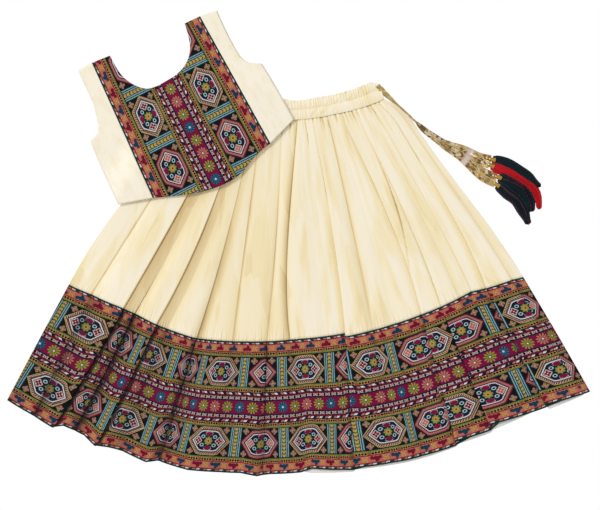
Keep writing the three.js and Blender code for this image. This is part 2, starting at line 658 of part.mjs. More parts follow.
// Head and locks of a tassel, two layers of locks side by side that part as they run out.
function tasselGeometry(start, direction, line, number) {
  const { length, radius } = TASSEL_HEAD;
  const profile = [
    { radius: 0, at: 0 }, { radius: radius * 0.8, at: 0 }, { radius, at: length * 0.4 },
    { radius, at: length * 0.8 }, { radius: 0, at: length },
  ];
  let solid = solidOf(turned(profile, start, direction, 10));
  const side = new THREE.Vector3(-direction.y, direction.x, 0).normalize();
  for (let layer = 0; layer < 2; layer++) {
    for (let k = 0; k < LOCK.across; k++) {
      const across = k - (LOCK.across - 1) / 2 + (layer ? 0.25 : -0.25);
      const wave = Math.sin(k * 2.3 + layer * 1.7 + number);
      const reach = 1 - 0.05 * (1 + wave) - 0.03 * Math.abs(across);
      const root = start.clone().addScaledVector(direction, length * 0.5);
      root.addScaledVector(side, across * 0.5);
      root.z += (layer - 0.5) * 1.4;
      const count = line.length;
      const points = [root];
      line.forEach(([x, y], j) => {
        const share = (j + 1) / count;
        const here = new THREE.Vector3(x, y, 0);
        const before = j ? line[j - 1] : [start.x, start.y];
        const run = new THREE.Vector3(x - before[0], y - before[1], 0).normalize();
        const out = new THREE.Vector3(-run.y, run.x, 0);
        const spread = mix(1.45, 1.75, share) * across + wave * 0.25 * share;
        here.addScaledVector(out, spread);
        if (j === count - 1) here.addScaledVector(run, -(1 - reach) * 60);
        here.z = mix(layer ? 4.6 : 2.6, layer ? 2.9 : 0.95, smooth(share * 1.6));
        points.push(here);
      });
      solid = solid.add(solidOf(lock(points)));
    }
  }
  return geometryOf(solid);
}

function addDrawstring() {
  const tape = tapeRoute.map(([x, y, z]) => new THREE.Vector3(x, y, z));
  addPiece('drawstring_tape', tube(tape, TAPE_RADIUS, 8, 16), material.gold);
  streamers.forEach((s, number) => {
    const points = s.route.map(([x, y], k) => {
      const rise = smooth((k - s.route.length + 5) / 4);
      return new THREE.Vector3(x, y, mix(STREAMER_HEIGHT, CAP_HEIGHT, rise));
    });
    addPiece(`streamer_${s.name}`, tube(points, STREAMER_RADIUS, 8, 14), material.gold);
    const end = points[points.length - 1];
    const aim = new THREE.Vector3(s.tassel[0][0] - end.x, s.tassel[0][1] - end.y, 0).normalize();
    const cone = [
      { radius: 0, at: 0 }, { radius: 1.5, at: 0 }, { radius: 2.2, at: 3 },
      { radius: CAP_RADIUS, at: CAP_LENGTH }, { radius: 0, at: CAP_LENGTH },
    ];
    const capStart = end.clone().addScaledVector(aim, SEAM_GAP);
    addPiece(`tassel_cap_${s.name}`, turned(cone, capStart, aim, 14), material.cap);
    const headStart = capStart.clone().addScaledVector(aim, CAP_LENGTH + SEAM_GAP);
    const tassel = tasselGeometry(headStart, aim, s.tassel, number);
    addPiece(`tassel_${s.name}`, tassel, material[s.look]);
  });
}

// ---------- the whole set, its box centred on the origin ----------

addWaistband();
addSkirt();
addLining();
addCholi();
addDrawstring();

const garment = new THREE.Box3();
for (const mesh of model.children) {
  if (/^(drawstring|streamer|tassel)/.test(mesh.name)) continue;
  mesh.geometry.computeBoundingBox();
  garment.union(mesh.geometry.boundingBox);
}
const middle = garment.getCenter(new THREE.Vector3());
model.position.set(-middle.x, -middle.y, -garment.min.z);

export default model;
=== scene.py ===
"""A child's lehenga choli laid flat: pleated silk skirt with a brocade border and a tasselled
drawstring, and its sleeveless choli lying over the waist. Sizes are in millimetres, in the axes
of the part's own source, and become metres in the frame when a mesh is made."""

import math

import bpy
import numpy as np
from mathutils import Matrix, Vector


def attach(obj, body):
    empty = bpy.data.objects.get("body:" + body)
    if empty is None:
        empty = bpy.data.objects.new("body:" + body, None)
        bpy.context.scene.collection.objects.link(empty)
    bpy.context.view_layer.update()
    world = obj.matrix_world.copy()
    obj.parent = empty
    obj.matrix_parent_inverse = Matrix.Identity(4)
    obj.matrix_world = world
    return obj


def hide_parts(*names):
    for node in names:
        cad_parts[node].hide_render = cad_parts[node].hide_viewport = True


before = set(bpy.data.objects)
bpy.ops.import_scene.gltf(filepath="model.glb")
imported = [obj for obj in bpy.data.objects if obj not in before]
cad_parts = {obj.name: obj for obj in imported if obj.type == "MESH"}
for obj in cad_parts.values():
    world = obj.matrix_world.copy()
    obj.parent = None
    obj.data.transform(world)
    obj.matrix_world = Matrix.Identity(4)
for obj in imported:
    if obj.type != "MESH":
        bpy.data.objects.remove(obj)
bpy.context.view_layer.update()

MM = 0.001
FRAME_SHIFT = np.array([-1.8267, -0.6863, 0.0])   # from the source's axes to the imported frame's

CLOTH = 0.7              # silk with its lining
BROCADE_WALL = 0.9
FAN_APEX = np.array([-32.0, 508.0])   # where the side edges of the flared skirt would meet
# Heights above the surface of the middles of the layers, where they lie flat.
BACK_LEVEL = 1.0
LINING_LEVEL = 2.3
SKIRT_LEVEL = 3.0
BORDER_LEVEL = 3.9
BAND_LEVEL = 4.5
BAND_BACK_LEVEL = 1.6
FOLD_STEP = 0.85         # quarter of the height of a knife pleat
FOLD_HALF = 0.01         # degrees from a fold's line to its columns on each side
PLEAT_CRISP = 2.6        # how sharply a pleat bends at its low crease
COLUMN_PITCH = 2.6       # across the skirt, where its folds lie farthest apart
TOP_COLUMNS = 10         # of the top layer of a knife pleat, over the layers under it
SILK_DEPTH = 352.0
BORDER_DEPTH = 213.0
REPEAT = 90.0            # of the brocade's medallions along the strip
CHOLI_ORIGIN = np.array([-204.3, 248.0])
CHOLI_TURN = math.radians(26.6)
CHOLI_REST = 7.6         # height of its underside where it lies on the skirt
CHOLI_SLOPE = 56.0       # length over which it slopes down to the table beside the skirt
CHOLI_CROWN = 2.2        # how far the middle of its front swells up
CHOLI_BACK_LIFT = 0.6    # from its underside to the middle of each wall
CHOLI_FRONT_LIFT = 2.2
CHOLI_HALF = 155.0       # of its width
CHOLI_TUCK = 1.6         # how far its back shows past its sides
PANEL_START = 25.0       # down the choli, where a medallion's middle lies


# ---------- numbers ----------

def mix(a, b, share):
    return a + (b - a) * share


def smooth(share):
    s = np.clip(share, 0.0, 1.0)
    return s * s * (3 - 2 * s)


def hash_grid(i, j, seed):
    """Numbers from 0 to 1 that look random, one for each pair of whole numbers."""
    h = np.sin(i * 127.1 + j * 311.7 + seed * 74.7) * 43758.5453
    return h - np.floor(h)


def noise(x, y, seed):
    """Smooth noise from -1 to 1 with a wavelength of about 1."""
    x, y = np.broadcast_arrays(np.asarray(x, float), np.asarray(y, float))
    i, j = np.floor(x), np.floor(y)
    u, v = smooth(x - i), smooth(y - j)
    low = mix(hash_grid(i, j, seed), hash_grid(i + 1, j, seed), u)
    high = mix(hash_grid(i, j + 1, seed), hash_grid(i + 1, j + 1, seed), u)
    return mix(low, high, v) * 2 - 1


def bend_through(keys, values, at):
    """Smooth curve through a table's points, with the slope at each from its neighbours."""
    keys = np.asarray(keys, float)
    values = np.asarray(values, float)
    slopes = np.gradient(values, keys)
    k = np.clip(np.searchsorted(keys, at, side="right") - 1, 0, len(keys) - 2)
    run = keys[k + 1] - keys[k]
    s = np.clip((at - keys[k]) / run, 0, 1)
    a = (1 + 2 * s) * (1 - s) ** 2 * values[k] + s * s * (3 - 2 * s) * values[k + 1]
    return a + (s * (1 - s) ** 2 * slopes[k] - s * s * (1 - s) * slopes[k + 1]) * run


# ---------- meshes ----------

def add_mesh(name, points, faces, material, weave):
    """A piece from points in millimetres, with the three numbers of its weave at each point."""
    mesh = bpy.data.meshes.new(name)
    places = (np.asarray(points, float).reshape(-1, 3) + FRAME_SHIFT) * MM
    mesh.from_pydata(places.tolist(), [], [tuple(f) for f in faces])
    layer = mesh.attributes.new("weave", "FLOAT_VECTOR", "POINT")
    layer.data.foreach_set("vector", np.asarray(weave, np.float32).ravel())
    mesh.polygons.foreach_set("use_smooth", [True] * len(mesh.polygons))
    mesh.materials.append(material)
    mesh.update()
    piece = bpy.data.objects.new(name, mesh)
    bpy.context.collection.objects.link(piece)
    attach(piece, "root")
    return piece


def dress(node):
    """Hides a node of the part, whose place a piece takes."""
    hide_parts(node)


def grid_normals(grid):
    down = np.gradient(grid, axis=0)
    across = np.gradient(grid, axis=1)
    n = np.cross(across, down)
    n /= np.maximum(np.linalg.norm(n, axis=2, keepdims=True), 1e-9)
    return n


def shell_faces(rows, columns):
    """Upper face, lower face and the four edges of a closed wall on a grid."""
    top = np.arange(rows * columns).reshape(rows, columns)
    low = top + rows * columns
    faces = []
    for g, turn in ((top, False), (low, True)):
        q = np.stack([g[:-1, :-1], g[1:, :-1], g[1:, 1:], g[:-1, 1:]], -1).reshape(-1, 4)
        faces.append(q[:, ::-1] if turn else q)
    rim = np.concatenate([top[0, :-1], top[:-1, -1], top[-1, :0:-1], top[:0:-1, 0]])
    under = rim + rows * columns
    faces.append(np.stack([rim, np.roll(rim, -1), np.roll(under, -1), under], -1))
    return np.concatenate(faces).tolist()


def add_wall(name, grid, normal, thickness, material, weave):
    """A closed wall of cloth, half its thickness to each side of a grid of points."""
    sides = [(grid + normal * side * thickness / 2).reshape(-1, 3) for side in (1, -1)]
    data = np.concatenate([weave.reshape(-1, 3)] * 2)
    return add_mesh(name, np.concatenate(sides), shell_faces(*grid.shape[:2]), material, data)


def add_cloth(name, grid, thickness, material, weave):
    """A wall of cloth that takes its normals from its grid."""
    n = grid_normals(grid)
    if n[..., 2].mean() < 0:
        n = -n
    return add_wall(name, grid, n, thickness, material, weave)


# ---------- node materials ----------

def srgb(r, g, b):
    """Linear colour from one of 0 to 255 for each channel."""
    def channel(c):
        c /= 255
        return c / 12.92 if c <= 0.04045 else ((c + 0.055) / 1.055) ** 2.4
    return channel(r), channel(g), channel(b), 1.0


def sum_of_term(kind, swapped=False):
    """A method of Term that writes one kind of sum as a node."""
    def method(self, *others):
        values = (self, *others)
        return self.shade.math(kind, *(values[::-1] if swapped else values))
    return method


def sum_of_shade(kind):
    """A method of Shade that writes one kind of sum as a node."""
    def method(self, *values):
        return self.math(kind, *values)
    return method


class Term:
    """A number in a material: a socket that sums can be written with."""

    def __init__(self, shade, socket):
        self.shade = shade
        self.socket = socket

    __add__ = sum_of_term("ADD")
    __radd__ = sum_of_term("ADD")
    __sub__ = sum_of_term("SUBTRACT")
    __rsub__ = sum_of_term("SUBTRACT", swapped=True)
    __mul__ = sum_of_term("MULTIPLY")
    __rmul__ = sum_of_term("MULTIPLY")
    __truediv__ = sum_of_term("DIVIDE")
    __abs__ = sum_of_term("ABSOLUTE")
    __lt__ = sum_of_term("LESS_THAN")
    __gt__ = sum_of_term("GREATER_THAN")
    __and__ = sum_of_term("MINIMUM")


class Shade:
    """One node material, written as sums."""

    def __init__(self, name):
        self.material = bpy.data.materials.new(name)
        self.material.use_nodes = True
        self.nodes = self.material.node_tree.nodes
        self.links = self.material.node_tree.links
        self.nodes.clear()

    def node(self, kind, inputs=None, **settings):
        made = self.nodes.new(kind)
        for key, value in settings.items():
            setattr(made, key, value)
        for key, value in (inputs or {}).items():
            self.put(value, made.inputs[key])
        return made

    def put(self, value, socket):
        if isinstance(value, Term):
            value = value.socket
        if isinstance(value, bpy.types.NodeSocket):
            self.links.new(value, socket)
        else:
            socket.default_value = value

    def math(self, operation, *values):
        made = self.node("ShaderNodeMath", operation=operation)
        for value, socket in zip(values, made.inputs):
            self.put(value, socket)
        return Term(self, made.outputs[0])

    larger = sum_of_shade("MAXIMUM")
    smaller = sum_of_shade("MINIMUM")
    part = sum_of_shade("FRACT")
    whole = sum_of_shade("FLOOR")
    turn = sum_of_shade("ARCTAN2")
    cosine = sum_of_shade("COSINE")

    def length(self, a, b):
        return self.math("SQRT", a * a + b * b)

    def split(self, vector):
        made = self.node("ShaderNodeSeparateXYZ", {"Vector": vector})
        return [Term(self, out) for out in made.outputs]

    def join(self, x, y, z=0.0):
        made = self.node("ShaderNodeCombineXYZ", {"X": x, "Y": y, "Z": z})
        return made.outputs[0]

    def attribute(self, name):
        made = self.node("ShaderNodeAttribute", attribute_name=name)
        return self.split(made.outputs["Vector"])

    def noise(self, vector, detail):
        made = self.node("ShaderNodeTexNoise", {"Vector": vector, "Scale": 1.0, "Detail": detail})
        return Term(self, made.outputs["Fac"])

    def mapped(self, value, low, high, to_low=0.0, to_high=1.0):
        made = self.node("ShaderNodeMapRange", {"Value": value, "From Min": low, "From Max": high,
                                                "To Min": to_low, "To Max": to_high})
        return Term(self, made.outputs[0])

    def blend(self, share, a, b, kind="MIX"):
        """Colour a where the share is 0, and colour b where it is 1."""
        made = self.node("ShaderNodeMix", data_type="RGBA", blend_type=kind, clamp_factor=True)
        self.put(share, made.inputs[0])
        self.put(a, made.inputs[6])
        self.put(b, made.inputs[7])
        return made.outputs[2]

    def bands(self, value, steps):
        """Colours in bands that end at the distances given, as one ramp."""
        widest = steps[-1][0]
        made = self.node("ShaderNodeValToRGB", {"Fac": value / widest})
        ramp = made.color_ramp
        ramp.interpolation = "CONSTANT"
        start = 0.0
        for k, (end, colour) in enumerate(steps):
            stop = ramp.elements[0] if k == 0 else ramp.elements.new(start / widest)
            stop.position = start / widest
            stop.color = colour
            start = end
        while len(ramp.elements) > len(steps):
            ramp.elements.remove(ramp.elements[-1])
        return made.outputs[0]

    def finish(self, colour, roughness, relief, strength, distance=0.0004, **inputs):
        shader = self.node("ShaderNodeBsdfPrincipled",
                           {"Base Color": colour, "Roughness": roughness, **inputs})
        bump = self.node("ShaderNodeBump", {"Height": relief, "Strength": strength,
                                            "Distance": distance})
        self.links.new(bump.outputs[0], shader.inputs["Normal"])
        out = self.node("ShaderNodeOutputMaterial")
        self.links.new(shader.outputs[0], out.inputs["Surface"])
        return self.material


# Colours of the brocade's threads.
THREAD = {
    "magenta": srgb(126, 10, 62), "navy": srgb(18, 22, 48), "black": srgb(8, 14, 20),
    "white": srgb(226, 216, 218), "crimson": srgb(116, 12, 44), "olive": srgb(104, 106, 58),
    "green": srgb(8, 56, 54), "teal": srgb(8, 60, 84), "peach": srgb(194, 106, 88),
    "gold": srgb(186, 166, 84), "pink": srgb(188, 122, 100), "sky": srgb(168, 202, 208),
    "lime": srgb(152, 146, 62), "blue": srgb(6, 62, 88), "cream": srgb(206, 180, 172),
    "plum": srgb(54, 20, 60), "orange": srgb(200, 152, 92), "vein": srgb(70, 60, 28),
    "rust": srgb(140, 84, 56), "light blue": srgb(62, 122, 150), "mauve": srgb(176, 110, 110),
    "dusk": srgb(160, 118, 100), "haze": srgb(134, 178, 188),
}
MEDALLION_V = 56.6       # of its middle, from the middle of the strip
MEDALLION_HALF = 23.4    # of the row it stands in
FLOWER_PITCH = REPEAT / 4
FLOWER_RADIUS = 9.7
PETALS = 11
BIRD_PITCH = 29.0
BIRD_V = 95.1
DOT_PITCH = 4.2
# The bird's parts: along, across and radius, in its own directions.
BIRD = {"body": (1.0, 0.4, 4.6), "head": (-4.6, -1.7, 2.9), "tail": (6.4, -1.8, 2.6),
        "notch": (-2.2, 3.0, 1.9)}


def threads(*steps):
    """Steps for bands, from the place where each thread ends and its name."""
    return [(end, THREAD[name]) for end, name in steps]


def dye(s, colour, *layers):
    """The colour with threads laid over it one by one, each where its mask is 1."""
    for mask, name in layers:
        colour = s.blend(mask, colour, THREAD[name])
    return colour


def either(s, choice, name, other):
    """One thread's colour where the choice is 0, and another's where it is 1."""
    return s.blend(choice, THREAD[name], THREAD[other])


def nearest(s, value, period):
    """Number of the nearest repeat, and how far the value lies from its middle."""
    step = s.whole(value / period + 0.5)
    return step, value - step * period


def is_odd(s, step):
    return s.part(step / 2) > 0.25


def paint_flowers(s, colour, u, across, w):
    """Round flowers of pointed petals, with veins between them, in three colours by turns."""
    step, du = nearest(s, u, FLOWER_PITCH)
    odd = is_odd(s, step)
    pink = s.part(step / 4) > 0.4
    petal = s.blend(odd, either(s, pink, "pink", "blue"), THREAD["lime"])
    vein = s.blend(odd, either(s, pink, "crimson", "light blue"), THREAD["vein"])
    r = s.length(du, across) / FLOWER_RADIUS
    rays = s.cosine(s.turn(across, du) * PETALS)
    between = (r - rays * 0.6 > 0.52) & (r < 0.82) & (rays < -0.55)
    flower = s.blend(r - rays * 0.15 < 0.85, colour, petal)
    flower = s.blend(between, flower, vein)
    flower = s.blend(r < 0.26, flower, vein)
    flower = dye(s, flower, (r < 0.16, "white"))
    return s.blend((w < 9.9) & (abs(du) < 10.6), colour, flower)


def paint_chain(s, colour, u, w):
    """Pale links with dark dots and crossed strokes between them."""
    p = abs(nearest(s, u, REPEAT / 8)[1])
    q = abs(w - 14.7)
    stroke = (abs(p - q * 0.8 - 3.6) < 0.5) & (q < 2.2)
    return dye(s, colour, (q < 2.1, "cream"), (stroke, "plum"), (s.length(p, q) < 2.1, "black"))


def paint_dashes(s, colour, u, q, period, half):
    """Pairs of slanted dashes, one pink and one white, with a dark gap after them."""
    phase = s.part((u + q * 0.8) / period)
    thin = abs(q) < half
    return dye(s, colour, (thin & (phase > 0.06) & (phase < 0.32), "pink"),
               (thin & (phase > 0.4) & (phase < 0.7), "white"))


def paint_dots(s, colour, u, w, centre):
    """Groups of four dark dots on orange, between stretches of plain olive."""
    phase = s.part(u / (REPEAT / 4) + 0.27)
    q = w - centre
    band = (abs(q) < 2.2) & (phase < 0.75)
    dot = s.length((s.part(phase * (REPEAT / 4) / DOT_PITCH) - 0.5) * DOT_PITCH, q)
    return dye(s, colour, (band, "orange"), (band & (dot < 1.8), "black"))


def paint_flecks(s, colour, u, w, centre):
    """A line of slanted lime flecks beside the dots."""
    fleck = (abs(w - centre) < 1.0) & (s.part((u + w * 0.7) / 3.0) < 0.45)
    return dye(s, colour, (fleck, "lime"))


def paint_gaps(s, colour, mu, mv, slope):
    """Between the medallions: a band of leaves, stripes, and a blossom in each corner."""
    gap = REPEAT / 2 - mu
    in_row = mv < MEDALLION_HALF
    stripes = s.bands(gap, threads((2.8, "gold"), (4.1, "green"), (5.6, "haze"), (7.1, "black"),
                                   (8.6, "haze"), (13.0, "green")))
    leafy = gap < 2.8
    leaf = s.part((slope + gap * 0.7) / 6.0) < 0.3
    stripes = dye(s, stripes, (leafy & (s.part(slope / 18.4) < 0.35), "orange"),
                  (leafy & leaf, "vein"))
    colour = s.blend(in_row & (gap < 10.0), colour, stripes)
    p, q = mu - 28.2, mv - 18.4
    blossom = s.length(p, q)
    petals = s.cosine(s.turn(q, p) * 4)
    return dye(s, colour, ((blossom - petals * 0.9 < 4.6) & in_row, "dusk"),
               ((abs(p - q) < 0.6) & (blossom < 4.0), "green"), (blossom < 1.1, "gold"))


def paint_rings(s, colour, inward, beaded, crimson, in_row):
    """A medallion's rings, from its edge inwards: two kinds, one gold at the outside and one
    red. Inward is the distance from the edge, and beaded is 1 where a bead may lie."""
    gold_rings = s.bands(inward + 1, threads(
        (1.0, "black"), (2.1, "gold"), (5.2, "crimson"), (6.0, "olive"), (7.2, "green"),
        (8.8, "white"), (9.6, "green"), (13.0, "navy")))
    red_rings = s.bands(inward + 1, threads(
        (1.0, "black"), (2.8, "crimson"), (5.6, "mauve"), (6.6, "crimson"), (7.4, "black"),
        (8.8, "white"), (13.0, "navy")))
    rings = s.blend(crimson, gold_rings, red_rings)
    beads = (abs(inward - 2.6) < 1.3) & beaded
    rings = s.blend(beads, rings, either(s, crimson, "cream", "dusk"))
    return s.blend((inward > -0.6) & in_row, colour, rings)


def paint_medallions(s, colour, u, w):
    """Six-sided medallions: rings, and in them two leaves, four loops, two diamonds and a flower,
    mirrored about both their axes."""
    step, offset = nearest(s, u, REPEAT)
    slope = w - MEDALLION_V
    mu = abs(offset)
    mv = abs(slope)
    crimson = is_odd(s, step)
    colour = paint_gaps(s, colour, mu, mv, slope)
    inward = s.smaller(23.0 - mv, 27.6 - (mu * 0.766 + mv * 0.643))
    inward = s.smaller(inward, 23.8 - s.length(mu * 0.56, mv))
    beaded = s.part((u + slope * 0.9) / 3.8) < 0.42
    colour = paint_rings(s, colour, inward, beaded, crimson, mv < MEDALLION_HALF)

    leaf = s.length(mu * 0.5, mv - 12.0) - s.cosine(mu * 2.4) * 0.5
    loop = s.length((mu - 10.2) * 0.86, mv - 6.8)
    diamond = abs(mu - 17.6) * 0.72 + mv * 0.68
    inner = (inward > 7.6) & (mu > 8.0)
    colour = dye(s, colour, ((leaf < 3.4) & (mv < 14.6), "cream"),
                 (s.length(mu * 0.52, mv - 11.4) < 3.1, "magenta"), (loop < 2.9, "sky"),
                 (loop < 1.6, "navy"), ((diamond < 5.9) & inner, "black"),
                 ((diamond < 5.1) & inner, "cream"))
    colour = s.blend((diamond < 3.8) & inner, colour, either(s, crimson, "crimson", "peach"))
    spots = s.length(abs(mu - 17.6) - 2.6, mv - 2.8)
    r = s.length(mu, mv)
    rays = s.cosine(s.turn(mv, mu) * 8)
    return dye(s, colour, (spots < 1.2, "cream"), (s.length(mu - 17.6, mv) < 0.9, "white"),
               (r - rays * 0.7 < 7.7, "green"), (r - rays * 0.9 < 6.3, "lime"),
               (r < 3.3, "orange"), (r < 1.5, "crimson"))


def paint_birds(s, colour, u, w):
    """Small birds in two colours by turns, with gold scrolls half way between them."""
    step, du = nearest(s, u, BIRD_PITCH)
    dv = w - BIRD_V
    scroll = s.part((abs(abs(du) - BIRD_PITCH / 2) + dv * 0.7) / 3.8) < 0.5
    colour = dye(s, colour, ((abs(du) > 10.4) & scroll & (abs(dv) < 4.2), "gold"))
    part = {name: s.length(du - x, dv - y) - r for name, (x, y, r) in BIRD.items()}
    bird = s.smaller(s.smaller(part["body"], part["head"]), part["tail"])
    shown = (bird < 0.0) & (part["notch"] > 0.0) & (abs(dv) < 4.9)
    return s.blend(shown, colour, either(s, is_odd(s, step), "crimson", "teal"))


def brocade_material():
    """Woven border: U runs along the strip and V across it, both in millimetres."""
    s = Shade("brocade")
    u, v, depth = s.attribute("weave")
    wobble = s.noise(s.join(u * 0.7, v * 0.7), 1.0) - 0.5
    u = u + wobble * 0.9
    v = v + wobble * 0.9
    across = v - BORDER_DEPTH / 2
    w = abs(across)
    colour = s.bands(w, threads(
        (10.0, "magenta"), (12.2, "navy"), (17.1, "black"), (19.3, "crimson"), (24.5, "navy"),
        (25.6, "crimson"), (28.8, "rust"), (32.0, "olive"), (33.2, "green"), (80.4, "black"),
        (81.6, "green"), (84.9, "olive"), (88.2, "rust"), (89.7, "crimson"), (100.2, "peach"),
        (101.9, "crimson"), (106.7, "green"), (110.0, "black")))
    colour = paint_flowers(s, colour, u, across, w)
    colour = paint_chain(s, colour, u, w)
    colour = paint_dashes(s, colour, u, w - 21.9, REPEAT / 5.5, 1.5)
    for centre in (27.6, 86.1):
        colour = paint_dots(s, colour, u, w, centre)
    for centre in (30.9, 82.7):
        colour = paint_flecks(s, colour, u, w, centre)
    colour = paint_medallions(s, colour, u, w)
    colour = paint_birds(s, colour, u, w)
    colour = paint_dashes(s, colour, u, w - 103.0, REPEAT / 5, 0.95)

    # Threads: ribs along the strip and uneven colour; and painted shade, near black, deep in the
    # folds.
    rib = s.cosine(v * (2 * math.pi / 0.9))
    grain = s.noise(s.join(u * 1.5, v * 1.1), 3.0)
    light = s.mapped(grain, 0.3, 0.7, 0.42, 1.24)
    colour = s.blend(1.0, colour, s.join(light, light, light), "MULTIPLY")
    colour = s.blend(depth * 0.92, colour, (0.008, 0.006, 0.008, 1))
    return s.finish(colour, 0.75, rib * 0.3 + grain, 0.4, **{"Specular IOR Level": 0.12})


def silk_material(name, crest, half_shade, deep, along, puckered):
    """Silk with a soft lustre. Weave holds millimetres across the folds, millimetres down them
    and the painted shade of the folds, from 0 to 1; along sets how long the streaks are. Crest is
    the silk's own colour, and the two colours after it are the painted shade colours of its folds."""
    s = Shade(name)
    u, v, depth = s.attribute("weave")
    clouds = s.noise(s.join(u * 0.04, v * along * 0.8), 2.0)
    streaks = s.noise(s.join(u * 0.16, v * along), 3.0)
    slubs = s.noise(s.join(u * 1.2, v * along * 6.0), 2.0)
    # Tone: the painted shade of the folds, or cloudy patches of painted sheen where those are
    # stronger, with random streaks.
    tone = s.larger(depth, s.mapped(clouds, 0.46, 0.66, 0.0, 0.42)) + (streaks - 0.5) * 0.1
    relief = streaks * 0.9 + slubs * 0.25
    if puckered:
        # Near the border's seam, puckers: bumps, with painted highlights and painted shade in their
        # tone.
        puckers = s.noise(s.join(u * 0.5, v * 0.012, 7.0), 2.0)
        near_seam = s.mapped(v + puckers * 36.0, SILK_DEPTH - 6.0, SILK_DEPTH + 24.0)
        tone = tone + near_seam * s.mapped(puckers, 0.42, 0.68, -0.3, 0.6)
        relief = relief + near_seam * puckers * 5.0
        spot = s.join(u * 0.036 + clouds * 1.3, v * 0.009 + clouds * 0.5)
        patches = s.node("ShaderNodeTexVoronoi", {"Vector": spot, "Scale": 1.0})
        tone = tone + (s.split(patches.outputs["Color"])[0] - 0.5) * 0.24
    # Colour by tone: the silk's own colour on the crests, then the painted shade colours, and a
    # darker brown for the darkest painted shade.
    colour = s.blend(s.mapped(tone, 0.0, 0.4), crest, half_shade)
    colour = s.blend(s.mapped(tone, 0.38, 1.05), colour, deep)
    colour = s.blend(s.mapped(tone, 1.05, 1.7), colour, srgb(136, 120, 80))
    colour = s.blend((slubs - 0.4) * 0.2, colour, (1, 1, 1, 1), "SOFT_LIGHT")
    roughness = s.mapped(slubs, 0.2, 0.8, 0.4, 0.52)
    return s.finish(colour, roughness, relief, 0.22, 0.0012,
                    **{"Sheen Weight": 0.1, "Sheen Roughness": 0.4, "Specular IOR Level": 0.4})


def lining_material():
    s = Shade("lining")
    u, v, _ = s.attribute("weave")
    weave = s.noise(s.join(u * 2.0, v * 2.0), 2.0)
    colour = s.blend(weave, srgb(230, 228, 222), srgb(246, 245, 241))
    return s.finish(colour, 0.85, weave, 0.3)


def zari_material():
    """Flat gold tape with sequins: small cells, each a tone from dark brown to pale cream, as
    painted glints and painted shade for how each catches the light. Its weave's third number is 0 to
    1 towards a streamer's edge, and from 3 on the tape."""
    s = Shade("zari")
    u, v, edge = s.attribute("weave")
    place = s.join(u * 0.24, v * 0.2)
    cells = s.node("ShaderNodeTexVoronoi", {"Vector": place, "Scale": 1.0})
    tone = s.split(cells.outputs["Color"])[0]
    fine = s.noise(s.join(u * 0.7, v * 0.5), 3.0)
    # Each cell's tone: painted glints and painted shade of the sequins.
    colour = s.bands(tone + (fine - 0.5) * 0.5, [
        (0.24, srgb(110, 84, 46)), (0.42, srgb(154, 128, 76)), (0.7, srgb(194, 168, 118)),
        (0.88, srgb(222, 208, 178)), (1.0, srgb(192, 142, 60))])
    colour = s.blend(s.mapped(fine, 0.5, 0.8), colour, srgb(92, 70, 38))
    old_gold = s.mapped(v, 40.0, 90.0, 0.6, 0.0) & (edge > 2.0)
    colour = s.blend(old_gold, colour, srgb(190, 166, 92))
    pale = s.mapped(abs(v - 47.0), 3.0, 7.0, 0.75, 0.0) & (edge < 2.0)
    colour = s.blend(pale, colour, srgb(222, 206, 200))
    colour = s.blend((edge > 0.86) & (edge < 1.1), colour, srgb(222, 190, 104))
    relief = Term(s, cells.outputs["Distance"]) + fine
    return s.finish(colour, 0.4, relief, 0.6, Metallic=0.3)


def metal_material(name, light, dark):
    s = Shade(name)
    u, v, _ = s.attribute("weave")
    # Colour and roughness vary at random between the light and the dark tone.
    mottle = s.noise(s.join(u * 0.8, v * 0.8), 2.0)
    colour = s.blend(mottle, dark, light)
    return s.finish(colour, s.mapped(mottle, 0.3, 0.7, 0.22, 0.42), mottle, 0.15, Metallic=0.9)


def floss_material(name, low, high):
    """Silk floss, its tone different from thread to thread, with a few odd red threads."""
    s = Shade(name)
    u, v, odd = s.attribute("weave")
    tone = s.noise(s.join(u * 7.0, v * 0.01), 1.0)
    colour = s.blend(s.mapped(tone, 0.34, 0.66), low, high)
    colour = s.blend(odd, colour, srgb(136, 26, 58))
    return s.finish(colour, 0.55, tone, 0.1, **{"Specular IOR Level": 0.25})


# ---------- camera, light and floor ----------

# Metres in the frame.
CAMERA_PLACE = (0.001373, -0.019086, 2.267)
SUN_PLACE = (-1.6, 1.1, 2.3)
TABLE_HALF = 3.0
TABLE_LEVEL = -0.0005


def add_camera():
    lens = bpy.data.cameras.new("camera")
    lens.lens = 85
    lens.sensor_width = 36
    camera = bpy.data.objects.new("camera", lens)
    camera.location = CAMERA_PLACE
    bpy.context.collection.objects.link(camera)
    bpy.context.scene.camera = camera


def add_sun():
    light = bpy.data.lights.new("key", "SUN")
    light.energy = 1.3
    light.angle = math.radians(16)
    sun = bpy.data.objects.new("key", light)
    sun.location = SUN_PLACE
    sun.rotation_mode = "QUATERNION"
    sun.rotation_quaternion = Vector(SUN_PLACE).to_track_quat("Z", "Y")
    bpy.context.collection.objects.link(sun)


def add_studio():
    scene = bpy.context.scene
    scene.view_settings.view_transform = "Standard"
    world = bpy.data.worlds.new("studio")
    scene.world = world
    world.use_nodes = True
    background = world.node_tree.nodes["Background"]
    background.inputs["Color"].default_value = (1.0, 0.99, 0.98, 1)
    background.inputs["Strength"].default_value = 0.66
    add_sun()
    s = Shade("table")
    glow = s.node("ShaderNodeEmission", {"Color": (1, 1, 1, 1), "Strength": 1.0})
    out = s.node("ShaderNodeOutputMaterial")
    s.links.new(glow.outputs[0], out.inputs["Surface"])
    mesh = bpy.data.meshes.new("table")
    corners = [(x * TABLE_HALF, y * TABLE_HALF, TABLE_LEVEL)
               for x, y in ((-1, -1), (1, -1), (1, 1), (-1, 1))]
    mesh.from_pydata(corners, [], [(0, 1, 2, 3)])
    mesh.materials.append(s.material)
    table = bpy.data.objects.new("table", mesh)
    bpy.context.collection.objects.link(table)


# ---------- drawstring, streamers and tassels ----------

